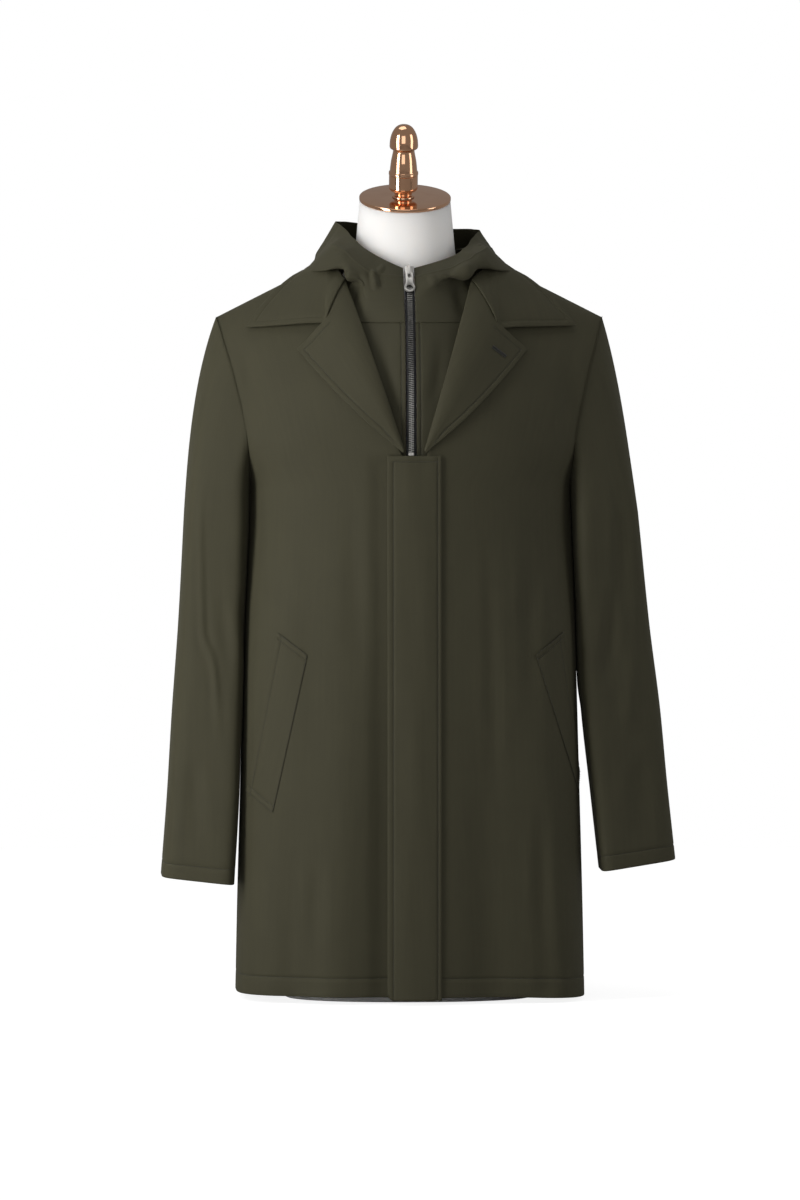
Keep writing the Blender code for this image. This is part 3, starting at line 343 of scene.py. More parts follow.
def toneGroup():  # cloudy and lengthwise changes of tone
    group, inside, outside = newGroup(
        "clothTone",
        [("Map", "NodeSocketVector", None), ("Streak", "NodeSocketFloat", 0.5)],
        ["Tone"],
    )
    stretch = addNode(group, "ShaderNodeMapping", Scale=(260, 12, 1))
    group.links.new(inside.outputs["Map"], stretch.inputs["Vector"])
    streak = addNode(group, "ShaderNodeTexNoise", Scale=1, Detail=3)
    group.links.new(stretch.outputs[0], streak.inputs["Vector"])
    cloud = addNode(group, "ShaderNodeTexNoise", Scale=26, Detail=4)
    group.links.new(inside.outputs["Map"], cloud.inputs["Vector"])
    lined = mathNode(group, "MULTIPLY", streak.outputs[0], inside.outputs["Streak"])
    rest = mathNode(group, "SUBTRACT", 1, inside.outputs["Streak"])
    plain = mathNode(group, "MULTIPLY", cloud.outputs[0], rest)
    group.links.new(mathNode(group, "ADD", lined, plain), outside.inputs["Tone"])
    return group


steepTwill, clothTone = twillGroup(), toneGroup()


def placeGroup(tree, group, values):
    node = tree.nodes.new("ShaderNodeGroup")
    node.node_tree = group
    for socket, value in values.items():
        if isinstance(value, (int, float)):
            node.inputs[socket].default_value = value
        else:
            tree.links.new(value, node.inputs[socket])
    return node


def colourRamp(tree, factor, dark, light):
    mix = tree.nodes.new("ShaderNodeMix")
    mix.data_type = "RGBA"
    mix.inputs[6].default_value = (*dark, 1)
    mix.inputs[7].default_value = (*light, 1)
    tree.links.new(factor, mix.inputs[0])
    return mix.outputs[2]


def spreadValue(tree, value, low, high, start=0.0, end=1.0):
    node = addNode(tree, "ShaderNodeMapRange", From_Min=start, From_Max=end, To_Min=low, To_Max=high)
    tree.links.new(value, node.inputs["Value"])
    return node.outputs[0]


def newMaterial(name, **fixed):
    material = bpy.data.materials.new(name)
    material.use_nodes = True
    shader = material.node_tree.nodes["Principled BSDF"]
    for socket, value in fixed.items():
        shader.inputs[socket.replace("_", " ")].default_value = value
    return material, material.node_tree, shader


def addBump(tree, shader, height, strength, distance):
    bump = addNode(tree, "ShaderNodeBump", Strength=strength, Distance=distance)
    tree.links.new(height, bump.inputs["Height"])
    tree.links.new(bump.outputs[0], shader.inputs["Normal"])


def clothMaterial(name, look):
    material, tree, shader = newMaterial(
        name, Sheen_Weight=look["sheen"], Sheen_Roughness=0.5, Sheen_Tint=(*look["sheenTint"], 1),
        Specular_IOR_Level=look["specular"],
    )
    clothMap = tree.nodes.new("ShaderNodeUVMap")
    clothMap.uv_map = "clothMap"
    weave = placeGroup(tree, steepTwill, {
        "Map": clothMap.outputs[0], "Pitch": look["pitch"], "Slant": look["slant"],
    })
    tone = placeGroup(tree, clothTone, {"Map": clothMap.outputs[0], "Streak": look["streak"]})
    ribbed = mathNode(tree, "MULTIPLY", weave.outputs["Rib"], 0.30)
    yarned = mathNode(tree, "MULTIPLY", weave.outputs["Yarn"], 0.30)
    toned = mathNode(tree, "MULTIPLY", tone.outputs["Tone"], 0.40)
    factor = mathNode(tree, "ADD", mathNode(tree, "ADD", ribbed, yarned), toned)
    contrast = spreadValue(tree, factor, 0, 1, 0.25, 0.75)
    tree.links.new(colourRamp(tree, contrast, look["dark"], look["light"]), shader.inputs["Base Color"])
    tree.links.new(spreadValue(tree, factor, look["rough"][0], look["rough"][1]), shader.inputs["Roughness"])
    ribs = mathNode(tree, "MULTIPLY", weave.outputs["Rib"], 0.7)
    yarns = mathNode(tree, "MULTIPLY", weave.outputs["Yarn"], 0.5)
    relief = mathNode(tree, "ADD", ribs, yarns)
    addBump(tree, shader, relief, look["bump"], 0.00012)
    return material


oliveTwill = clothMaterial("oliveTwill", {
    "dark": (0.0333, 0.0308, 0.0170), "light": (0.0540, 0.0499, 0.0276),
    "rough": (0.70, 0.86), "specular": 0.22, "sheen": 0.06, "sheenTint": (0.75, 0.71, 0.50),
    "pitch": 0.0009, "slant": 1.1, "streak": 0.6, "bump": 0.5,
})
bibTwill = clothMaterial("bibTwill", {
    "dark": (0.0318, 0.0295, 0.0166), "light": (0.0515, 0.0478, 0.0268),
    "rough": (0.70, 0.84), "specular": 0.22, "sheen": 0.06, "sheenTint": (0.75, 0.71, 0.50),
    "pitch": 0.0008, "slant": 1.1, "streak": 0.6, "bump": 0.45,
})
zipWeave = clothMaterial("zipWeave", {
    "dark": (0.008, 0.008, 0.009), "light": (0.020, 0.020, 0.022), "rough": (0.62, 0.80), "specular": 0.35,
    "sheen": 0.05, "sheenTint": (0.8, 0.8, 0.9), "pitch": 0.0012, "slant": 0.0, "streak": 0.2, "bump": 0.7,
})
print("cloths: twill, bib twill, zip tape")


def clothShell(name, net, out, thick, material):  # two skins with a rounded rim, mapped in metres
    rows, columns = net.shape[:2]
    toward = np.zeros_like(net)
    toward[0] += unit(net[0] - net[1])
    toward[-1] += unit(net[-1] - net[-2])
    toward[:, 0] += unit(net[:, 0] - net[:, 1])
    toward[:, -1] += unit(net[:, -1] - net[:, -2])
    toward = unit(toward)
    base = net - thick / 2 * toward
    rim = [(0, j) for j in range(columns)] + [(i, columns - 1) for i in range(1, rows)]
    rim += [(rows - 1, j) for j in range(columns - 2, -1, -1)] + [(i, 0) for i in range(rows - 2, 0, -1)]
    ri, rj = np.array(rim).T
    layers = [base.reshape(-1, 3), (base - thick * out).reshape(-1, 3)]
    for turn in (45, 90, 135):
        c, s = math.cos(math.radians(turn)), math.sin(math.radians(turn))
        layers.append((base - thick / 2 * out + thick / 2 * (c * out + s * toward))[ri, rj])
    index = np.arange(rows * columns).reshape(rows, columns)
    quads = np.stack([index[:-1, :-1], index[:-1, 1:], index[1:, 1:], index[1:, :-1]], axis=-1).reshape(-1, 4)
    skin = rows * columns
    turned = [2 * skin + k * len(rim) + np.arange(len(rim)) for k in range(3)]
    loops = [index[ri, rj]] + turned + [skin + index[ri, rj]]
    faces = [quads, skin + quads[:, ::-1]]
    for high, low in zip(loops, loops[1:]):
        faces.append(np.stack([high, low, np.roll(low, -1), np.roll(high, -1)], axis=-1))
    faces = np.concatenate(faces)
    middle = (rows // 2, columns // 2)
    a, b, c = base[middle], base[middle[0], middle[1] + 1], base[middle[0] + 1, middle[1]]
    if np.dot(np.cross(b - a, c - a), out[middle]) < 0:
        faces = faces[:, ::-1]
    widths = np.cumsum(np.linalg.norm(np.diff(net, axis=1), axis=2), axis=1)
    across = np.concatenate([np.zeros((rows, 1)), widths], axis=1)
    across -= across[:, columns // 2][:, None]
    lengths = np.cumsum(np.linalg.norm(np.diff(net, axis=0), axis=2), axis=0)
    along = np.concatenate([np.zeros((1, columns)), lengths])
    flat = np.stack([across, np.broadcast_to(along.mean(axis=1)[:, None], (rows, columns))], axis=-1)
    spots = np.concatenate([flat.reshape(-1, 2), flat.reshape(-1, 2)] + [flat[ri, rj]] * 3)
    mesh = bpy.data.meshes.new(name)
    mesh.from_pydata(np.concatenate(layers).tolist(), [], faces.tolist())
    layer = mesh.uv_layers.new(name="clothMap")
    corners = np.empty(len(mesh.loops), np.int32)
    mesh.loops.foreach_get("vertex_index", corners)
    layer.data.foreach_set("uv", spots[corners].astype(np.float32).ravel())
    mesh.shade_smooth()
    mesh.materials.append(material)
    piece = bpy.data.objects.new(name, mesh)
    bpy.context.scene.collection.objects.link(piece)
    return piece


def sewPiece(name, node, net, out, thick, material):
    piece = clothShell(name, net, out, thick, material)
    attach(piece, "coat")
    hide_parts(node)
    return piece


def sewn(net, out, kind="coat"):  # a thread path just on the cloth
    sewnLines[kind].append(net + 0.0002 * out)


# sleeves come first, because the panels' armhole edges are matched to them

sleeve = {
    "height": {
        wearerRight: [0.575, 0.450, 0.330, 0.245, 0.142],
        wearerLeft: [0.575, 0.450, 0.330, 0.245, 0.159],
    },
    "out": {
        wearerRight: [0.2303, 0.2348, 0.2408, 0.2448, 0.2520],
        wearerLeft: [0.2325, 0.2405, 0.2515, 0.2600, 0.2690],
    },
    "forward": [0.000, 0.004, 0.014, 0.022, 0.032],
    "halfWidth": {
        wearerRight: [0.0357, 0.0380, 0.0408, 0.0420, 0.0428],
        wearerLeft: [0.0380, 0.0430, 0.0465, 0.0455, 0.0452],
    },
    "halfDepth": [0.0710, 0.0655, 0.0600, 0.0560, 0.0520],
    "tilt": {
        wearerRight: [0.00, 0.00, 0.03, 0.06, 0.10],
        wearerLeft: [0.00, 0.00, 0.04, 0.08, 0.13],
    },
    # how far the inner wall is pressed to the body, at each height
    "pressed": {
        wearerRight: (
            [0.30, 0.33, 0.45, 0.52, 0.575, 0.60, 0.64],
            [0, 0.0012, 0.0014, 0.0036, 0.0056, 0.0044, 0],
        ),
        wearerLeft: (
            [0.345, 0.375, 0.42, 0.46, 0.49, 0.575, 0.60, 0.64],
            [0, 0.0030, 0.0026, 0.0008, 0.0018, 0.0030, 0.0026, 0],
        ),
    },
    "capSwell": {wearerRight: 0.0125, wearerLeft: 0.0045}, "capRise": 0.034, "capRows": 26,
    "rows": 110, "cuffStitch": 0.0175, "frontSeam": 0.43, "backSeam": 0.36,
    "boxPower": 6.0, "turnedOut": {wearerRight: 0.22, wearerLeft: 0.42},
    # creases: lines of (turn from the outside round by the front, height)
    "creases": {
        wearerRight: [
            foldLine(0.0050, 0.0019, (1.02, 0.62), (1.10, 0.56), (1.14, 0.53), (1.24, 0.46), (1.31, 0.43),
                     (1.60, 0.405), (1.80, 0.355), (1.92, 0.28)),
            foldLine(0.010, -0.0014, (1.75, 0.50), (1.95, 0.44), (2.10, 0.39), (2.25, 0.33)),
            foldLine(0.012, -0.0025, (2.30, 0.50), (2.70, 0.42), (3.40, 0.38)),
            foldLine(0.012, -0.0030, (4.20, 0.46), (3.80, 0.40), (3.30, 0.36)),
            foldLine(0.013, -0.0028, (4.60, 0.40), (4.20, 0.34), (3.70, 0.31)),
            foldLine(0.014, -0.0020, (1.10, 0.30), (1.30, 0.24), (1.40, 0.17)),
        ],
        wearerLeft: [
            foldLine(0.012, -0.0025, (1.10, 0.62), (1.25, 0.52), (1.40, 0.43)),
            foldLine(0.010, -0.0030, (1.55, 0.50), (1.75, 0.43), (2.05, 0.35)),
            foldLine(0.011, 0.0024, (1.15, 0.44), (1.30, 0.38), (1.60, 0.30)),
            foldLine(0.012, -0.0030, (4.30, 0.47), (3.90, 0.41), (3.30, 0.37)),
            foldLine(0.013, -0.0028, (4.70, 0.41), (4.25, 0.35), (3.80, 0.32)),
            foldLine(0.014, -0.0020, (1.20, 0.30), (1.35, 0.24), (1.35, 0.18)),
        ],
    },
}


def armholeHeights():
    share = (1 - np.cos(np.linspace(0, math.pi, coat["armholeRows"] + 1))) / 2
    return share, coat["underarm"] + (coat["tip"] - coat["underarm"]) * share


def armholeLoop(side):  # from the tip down the front to the underarm and up the back
    heights = armholeHeights()[1]
    out = armholeAt(heights)
    front = np.stack([side * out, coatY(side * out, heights, faceFront), heights], axis=-1)
    back = np.stack([side * out, coatY(side * out, heights, faceBack), heights], axis=-1)
    front[[0, -1], 1] = back[[0, -1], 1] = 0
    return np.concatenate([front[::-1], back[1:-1]])


def sleeveNet(side):
    loop = armholeLoop(side)
    loop[:, 0] += side * coat["seamGap"]
    turn = np.linspace(0, 2 * math.pi, len(loop), endpoint=False)
    heights = sleeve["height"][side]

    def column(name):
        values = sleeve[name] if isinstance(sleeve[name], list) else sleeve[name][side]
        return smoothCurve(heights[::-1], values[::-1])

    power = sleeve["boxPower"]
    boxed = (np.abs(np.cos(turn)) ** power + np.abs(np.sin(turn)) ** power) ** (-1 / power)
    names = ("out", "forward", "halfWidth", "halfDepth", "tilt")
    outAt, forwardAt, widthAt, deepAt, tiltAt = map(column, names)

    def ring(height):
        out = widthAt(height) * boxed * np.cos(turn)
        x = side * (outAt(height) + out)
        y = -forwardAt(height) - deepAt(height) * boxed * np.sin(turn) + sleeve["turnedOut"][side] * out
        return np.stack([x, y, height + tiltAt(height) * out], axis=-1)

    upper = ring(heights[0])
    swell = (1 + np.cos(turn)) / 2
    middle = (loop + upper) / 2
    middle[:, 0] += side * sleeve["capSwell"][side] * swell
    middle[:, 2] += sleeve["capRise"] * swell
    share = np.linspace(0, 1, sleeve["capRows"] + 1)[:, None, None]
    cap = (1 - share) ** 2 * loop + 2 * share * (1 - share) * middle + share ** 2 * upper
    stitched = heights[-1] + sleeve["cuffStitch"]
    down = withLines(np.linspace(heights[-1], heights[0], sleeve["rows"] + 1)[:-1], [stitched])[::-1]
    net = np.concatenate([cap, [ring(height) for height in down]])
    closed = np.concatenate([net[:, -1:], net, net[:, :1]], axis=1)
    normals = netNormals(closed, -side)[:, 1:-1]
    level = np.concatenate([cap[:, :, 2], np.repeat(down[:, None], len(turn), axis=1)])
    raised = creaseHeight(turn[None] * 0.060, level, [
        {**crease, "line": [(a * 0.060, b) for a, b in crease["line"]]} for crease in sleeve["creases"][side]
    ])
    raised[sleeve["capRows"] + 1:] -= groove(down - stitched)[:, None]
    raised[:4] *= np.linspace(0, 1, 4)[:, None]
    inner = np.clip(-np.cos(turn), 0, 1) ** 2
    raised = raised * (1 - 0.7 * inner) + smoothCurve(*sleeve["pressed"][side])(level) * inner ** 2
    stitchRow = sleeve["capRows"] + 1 + int(np.argmin(np.abs(down - stitched)))
    return net + raised[..., None] * normals, normals, stitchRow


sleeveNets = {side: sleeveNet(side) for side in (wearerRight, wearerLeft)}


def armholeNormals(side):  # shared where the corner is round
    net, normals, _ = sleeveNets[side]
    rows = coat["armholeRows"]
    own, loop = normals[0], net[0]
    panel = np.empty_like(loop)
    for face, span in ((faceFront, slice(1, rows)), (faceBack, slice(rows + 1, None))):
        panel[span] = coatNormal(loop[span, 0], loop[span, 2], face)
    panel[0] = unit(np.array([side * coat["slope"], 0, 1]))
    panel[rows] = (side, 0, 0)
    shared = unit(panel + own + 1e-9)
    close = np.sum(panel * own, axis=1, keepdims=True)
    mitre = shared / np.maximum(np.sum(shared * panel, axis=1, keepdims=True), 0.6)
    return np.where(close > 0, mitre, panel), np.where(close > 0, mitre, own)


def makeSleeve(side):
    net, normals, stitchRow = sleeveNets[side]
    normals = normals.copy()
    normals[0] = armholeNormals(side)[1]
    points = net.shape[1]
    front, back = [int(round(points * sleeve[seam])) for seam in ("frontSeam", "backSeam")]
    spans = {
        "upperSleeve": np.arange(-back, front + 1) % points,
        "underSleeve": np.arange(front, points - back + 1),
    }
    for word, span in spans.items():
        piece = drawIn(net[:, span], rows=[0], columns=[0, -1])
        node = ("upper_sleeve_" if word == "upperSleeve" else "under_sleeve_") + sideWord[side].lower()
        sewPiece(word + sideWord[side], node, piece, normals[:, span], coat["cloth"], oliveTwill)
        sewn(piece[stitchRow, 1:-1], normals[stitchRow, span][1:-1])


# body panels

opening = {
    "break": 0.6455, "rollX": 0.0095, "blend": 0.045, "tuck": 0.005,
    "gorge": {wearerRight: (0.0775, 0.8490), wearerLeft: (0.0705, 0.8490)},
    "neckTurn": {wearerRight: (0.0865, 0.8590), wearerLeft: (0.0835, 0.8590)},
    "lap": {wearerLeft: -0.0310, wearerRight: -0.0260}, "sink": 0.0032, "fall": 0.0105,
}


def panelRows(side, innerEdge, innerTop):
    share, seamHeights = armholeHeights()
    low = np.linspace(coat["hem"], coat["underarm"], coat["bodyRows"] + 1)[:-1]
    low = withLines(low, [coat["hem"] + coat["hemStitch"]])
    seamZ = np.concatenate([low, seamHeights])
    seamX = np.concatenate([halfWidthAt(low), armholeAt(seamHeights)])
    innerZ = np.concatenate([low, coat["underarm"] + (innerTop - coat["underarm"]) * share])
    innerX = innerEdge(innerZ)
    across = np.sin(np.linspace(0, math.pi / 2, coat["columns"] + 1)) ** 0.9
    x = innerX[:, None] + (seamX - innerX)[:, None] * across
    z = innerZ[:, None] + (seamZ - innerZ)[:, None] * across
    z = z - coat["hemDrop"][side] * (x / coat["halfWidth"][0]) ** 2 * smoothStep(1 - (z - coat["hem"]) / 0.15)
    return side * x, z, low


def seamNormals(normals, side, face, lowRows):
    normals = normals.copy()
    normals[-1] = unit(np.array([side * coat["slope"], 0, 1]))
    normals[:lowRows, -1] = (side, 0, 0)
    panel = armholeNormals(side)[0]
    rows = coat["armholeRows"]
    normals[lowRows:, -1] = panel[rows::-1] if face == faceFront else np.concatenate([panel[rows:], panel[:1]])
    return normals


def hemSeam(net, normals, low):
    line = coat["hem"] + coat["hemStitch"]
    net = net.copy()
    net[:len(low)] -= groove(low - line)[:, None, None] * normals[:len(low)]
    return net, int(np.argmin(np.abs(low - line)))


def makeFront(side):
    gorge, neckTurn, tuck = opening["gorge"][side], opening["neckTurn"][side], opening["tuck"]
    edge = smoothCurve(
        [
            coat["hem"], opening["break"] - opening["blend"], opening["break"],
            gorge[1], neckTurn[1], coat["neck"],
        ],
        [
            opening["lap"][side], opening["lap"][side], opening["rollX"] + tuck,
            gorge[0] + tuck, max(neckTurn[0], gorge[0] + tuck) + 0.001, coat["neckX"],
        ],
    )
    x, z, low = panelRows(side, edge, coat["neck"])
    lowRows = len(low)
    net = coatPoint(x, z, faceFront)
    net[:, -1] = np.stack([x[:, -1], coatY(x[:, -1], z[:, -1], faceFront), z[:, -1]], axis=-1)
    net[-1, :, 1] = 0
    net[: lowRows + 1, -1, 1] = 0
    if side == wearerRight:  # passes under the left front
        under = smoothStep((opening["break"] + 0.004 - z) / 0.012)
        sink = opening["sink"] * smoothStep((x + 0.058) / 0.020) * under
        sink = sink + opening["fall"] * smoothStep((x + 0.088) / 0.064) * smoothStep((0.56 - z) / 0.36)
        net -= sink[..., None] * coatNormal(x, z, faceFront)
    net = drawIn(net, rows=[-1], columns=[-1])
    normals = seamNormals(netNormals(net, -side), side, faceFront, lowRows)
    net, row = hemSeam(net, normals, low)
    sewPiece("front" + sideWord[side], "front_" + sideWord[side].lower(), net, normals, coat["cloth"],
             oliveTwill)
    sewn(net[row, 2:-1], normals[row, 2:-1])


def makeBack():
    neckSpans = 20
    halves = {}
    for side in (wearerRight, wearerLeft):
        x, z, low = panelRows(side, lambda height: np.zeros_like(height), coat["backNeck"])
        lowRows = len(low)
        topX = np.concatenate([
            np.linspace(0, coat["neckX"], neckSpans + 1),
            np.linspace(coat["neckX"], coat["tipX"], coat["columns"] - neckSpans + 1)[1:],
        ])
        rise = np.clip(topX / coat["neckX"], 0, 1) ** 2.5
        neckZ = coat["backNeck"] + (coat["neck"] - coat["backNeck"]) * rise
        topZ = np.where(topX < coat["neckX"], neckZ, ridgeHeight(topX))
        weight = np.clip((z[:, -1:] - coat["underarm"]) / (coat["tip"] - coat["underarm"]), 0, 1) ** 3
        x = x + weight * (side * topX - x[-1])
        z = z + weight * (topZ - z[-1])
        net = coatPoint(x, z, faceBack)
        net[-1, neckSpans:, 1] = 0
        net[: lowRows + 1, -1, 1] = 0
        net = drawIn(net, rows=[-1], columns=[-1])
        normals = netNormals(net, side)
        neckline = normals[-1, :neckSpans].copy()
        normals = seamNormals(normals, side, faceBack, lowRows)
        normals[-1, :neckSpans] = neckline
        net, row = hemSeam(net, normals, low)
        halves[side] = (net, normals)
    (right, rightOut), (left, leftOut) = halves[wearerRight], halves[wearerLeft]
    net = np.concatenate([right[:, ::-1], left[:, 1:]], axis=1)
    middle = unit(rightOut[:, :1] + leftOut[:, :1])
    normals = np.concatenate([rightOut[:, :0:-1], middle, leftOut[:, 1:]], axis=1)
    sewPiece("backPanel", "back", net, normals, coat["cloth"], oliveTwill)
    sewn(net[row, 1:-1], normals[row, 1:-1])


for side in (wearerRight, wearerLeft):
    makeSleeve(side)
    makeFront(side)
makeBack()
print("body: two fronts, back, two-piece sleeves")

# lapels roll over from the fronts' edges

lapel = {
    "notch": {wearerRight: (0.0965, 0.8035), wearerLeft: (0.0950, 0.7983)}, "peak": (0.1353, 0.7690),
    "belly": 0.003, "start": 0.03, "roll": 0.0075, "flare": {wearerRight: 0.0024, wearerLeft: 0.0036},
    "stitch": 0.0070, "rows": 96, "columns": 56, "notchShare": 0.4, "curl": 0.0024,
    "narrow": 0.024, "sewnFrom": 0.012,
}


def makeLapel(side):
    start, gorge, peak = (opening["rollX"], opening["break"]), opening["gorge"][side], lapel["peak"]
    topWidth = math.dist(gorge, peak)
    edgeLength = math.dist(start, peak)
    up = np.linspace(lapel["start"], 1, lapel["rows"] + 1) * edgeLength
    up = withLines(up, [edgeLength - lapel["stitch"]]) / edgeLength
    up = up[:, None]
    width = topWidth * up
    shrink = np.minimum(1, width / lapel["narrow"])
    near = edgePlaces(lapel["stitch"])
    band = sewing["edgeBand"] * shrink
    rest = band + (width - band) * np.linspace(0, 1, lapel["columns"] + 1)[1:]
    inset = np.concatenate([np.broadcast_to(near, (len(up), len(near))) * shrink, rest], axis=1)
    across = 1 - (inset / width)[:, ::-1]
    inset = inset[:, ::-1]
    views = []
    for k in (0, 1):
        rolled = start[k] + (gorge[k] - start[k]) * up
        edge = start[k] + (peak[k] - start[k]) * up
        top = np.interp(across, [0, lapel["notchShare"], 1], [gorge[k], lapel["notch"][side][k], peak[k]])
        views.append(rolled + (edge - rolled) * across + up * (top - gorge[k] - (peak[k] - gorge[k]) * across))
    belly = lapel["belly"] * np.sin(math.pi * up) * across
    x, z = side * (views[0] + belly), views[1] - belly
    swell = rollShape(lapel["roll"], across) * np.sqrt(up)
    below = (1 - up) * edgeLength
    stitchEnd = lapel["stitch"] - sewing["slack"]
    edgeLine = groove(inset - lapel["stitch"] * shrink) * (below > stitchEnd)
    edgeLine = edgeLine * smoothStep((width - 0.010) / 0.01)
    topLine = groove(below - lapel["stitch"]) * smoothStep((across - lapel["notchShare"] + 0.02) / 0.05)
    topLine = topLine * (inset > stitchEnd)
    flare = lapel["flare"][side] * smoothStep((across - 0.4) / 0.6) * np.sin(math.pi * np.clip(up, 0, 1)) ** 0.7
    lift = coat["layerGap"] + coat["cloth"] + swell + flare - np.maximum(edgeLine, topLine)
    net = coatPoint(x, z, faceFront, lift)
    out = netNormals(net, -side)
    centre = unit(net[:, 0] - net[:, 1])[:, None]
    turns = np.radians(np.linspace(130, 12, 8))[None, :, None]
    around = np.cos(turns) * out[:, :1] + np.sin(turns) * centre
    curl = net[:, :1] - lapel["curl"] * out[:, :1] + lapel["curl"] * around
    net = np.concatenate([curl, net], axis=1)
    out = netNormals(net, -side)
    sewPiece("lapel" + sideWord[side], "lapel_" + sideWord[side].lower(), net, out, coat["cloth"], oliveTwill)
    stitchColumn = curl.shape[1] + inset.shape[1] - 1 - int(np.argmin(np.abs(near - lapel["stitch"])))
    stitchRow = int(np.argmin(np.abs(below[:, 0] - lapel["stitch"])))
    firstRow = int(np.argmax(width[:, 0] > lapel["sewnFrom"]))
    notchColumn = curl.shape[1] + int(np.argmin(np.abs(across[stitchRow] - lapel["notchShare"])))
    sewn(net[firstRow:stitchRow + 1, stitchColumn], out[firstRow:stitchRow + 1, stitchColumn])
    sewn(net[stitchRow, notchColumn:stitchColumn + 1], out[stitchRow, notchColumn:stitchColumn + 1])
    return net, out


lapelNets = {side: makeLapel(side) for side in (wearerRight, wearerLeft)}

collar = {
    "notch": {wearerRight: (0.0968, 0.8030), wearerLeft: (0.0953, 0.7978)},
    "free": {wearerRight: (0.1020, 0.7985), wearerLeft: (0.1010, 0.7925)},
    "point": {wearerRight: (0.1915, 0.7930), wearerLeft: (0.1925, 0.7950)},
    "long": 0.235, "notchShare": 0.38, "joinShare": 0.42, "freeShare": 0.44,
    "roll": 0.0050, "lift": 0.0016, "join": 0.024, "tucked": 0.0016, "over": 0.0005,
    "kick": 0.0024, "kickBlend": 0.14, "kickLong": 0.030,
    "inner": [(0.0865, -0.034), (0.0920, 0.000), (0.0865, 0.036), (0.0530, 0.071), (0.0, 0.083)],
    "outer": [(0.1600, -0.0190), (0.1330, 0.004), (0.1180, 0.046), (0.0740, 0.098), (0.0, 0.119)],
    "stitch": 0.0058, "rowStitch": 0.0032, "rows": 96, "columns": 34,
}


def collarHalf(side):
    corners = [opening["gorge"], collar["notch"], collar["free"], collar["point"]]
    route = np.array([corner[side] for corner in corners])
    gorge, point = [np.array([out, float(coatY(out, height, faceFront))]) for out, height in route[[0, -1]]]
    long = collar["long"]
    rowLine = collar["rowStitch"]
    back = withLines(np.linspace(0, long, collar["rows"] + 1), [rowLine]) / long
    inner = alongRoute([gorge, *collar["inner"]], back)[:, None]
    outer = alongRoute([point, *collar["outer"]], back)[:, None]
    width = np.linalg.norm(outer - inner, axis=2)
    near = edgePlaces(collar["stitch"])
    band = sewing["edgeBand"]
    rest = band + (width - band) * np.linspace(0, 1, collar["columns"] + 1)[1:]
    inset = np.concatenate([np.broadcast_to(near, (len(back), len(near))), rest], axis=1)[:, ::-1]
    across = (1 - inset / width)[..., None]
    share = across[..., 0]
    shares = [0, collar["notchShare"], collar["freeShare"], 1]
    frontX, frontZ = [np.interp(share, shares, route[:, k]) for k in (0, 1)]
    frontRow = np.stack([frontX, coatY(frontX, frontZ, faceFront)], axis=-1)
    straight = gorge + (point - gorge) * across
    plan = inner + (outer - inner) * across + ((1 - back) ** 2)[:, None, None] * (frontRow - straight)
    swell = rollShape(collar["roll"], share)
    ahead = (back * long)[:, None]
    edgeLine = groove(inset - collar["stitch"]) * (ahead > rowLine - sewing["slack"])
    frontLine = groove(ahead - rowLine) * smoothStep((share - collar["notchShare"]) / 0.05)
    frontLine = frontLine * (inset > collar["stitch"] - sewing["slack"])
    joined = smoothStep((collar["joinShare"] - share) / 0.08) * smoothStep(1 - ahead / collar["join"])
    onLapel = coat["layerGap"] + coat["cloth"] + collar["over"] + rollShape(lapel["roll"], share)
    kick = collar["kick"] * smoothStep((share - collar["freeShare"]) / collar["kickBlend"])
    kick = kick * smoothStep(1 - ahead / collar["kickLong"])
    lift = collar["lift"] + swell + kick + (onLapel - collar["lift"] - swell) * joined
    net = shoulderPoint(side * plan[..., 0], plan[..., 1], lift - np.maximum(edgeLine, frontLine))
    stitchColumn = inset.shape[1] - 1 - int(np.argmin(np.abs(near - collar["stitch"])))
    stitchRow = int(np.argmin(np.abs(ahead[:, 0] - rowLine)))
    notchColumn = int(np.argmin(np.abs(share[stitchRow] - collar["joinShare"])))
    return net, stitchRow, stitchColumn, notchColumn


def makeCollar():
    right, stitchRow, stitchColumn, notchColumn = collarHalf(wearerRight)
    left = collarHalf(wearerLeft)[0]
    net = np.concatenate([right, left[-2::-1]])
    net = drawIn(net, rows=[0, -1], gap=-collar["tucked"])
    out = netNormals(net, -1)
    sewPiece("collarLeaf", "collar", net, out, coat["cloth"], oliveTwill)
    sewn(net[stitchRow:len(net) - stitchRow, stitchColumn], out[stitchRow:len(net) - stitchRow, stitchColumn])
    for row in (stitchRow, len(net) - 1 - stitchRow):
        sewn(net[row, notchColumn:stitchColumn + 1], out[row, notchColumn:stitchColumn + 1])


makeCollar()
print("collar and lapels")

placket = {
    "half": 0.0315, "bottom": 0.006, "thick": 0.0026, "inset": 0.0070, "rightInset": 0.0045,
    "rows": 190, "columns": 24, "corner": 0.008, "pillow": 0.0008,
}


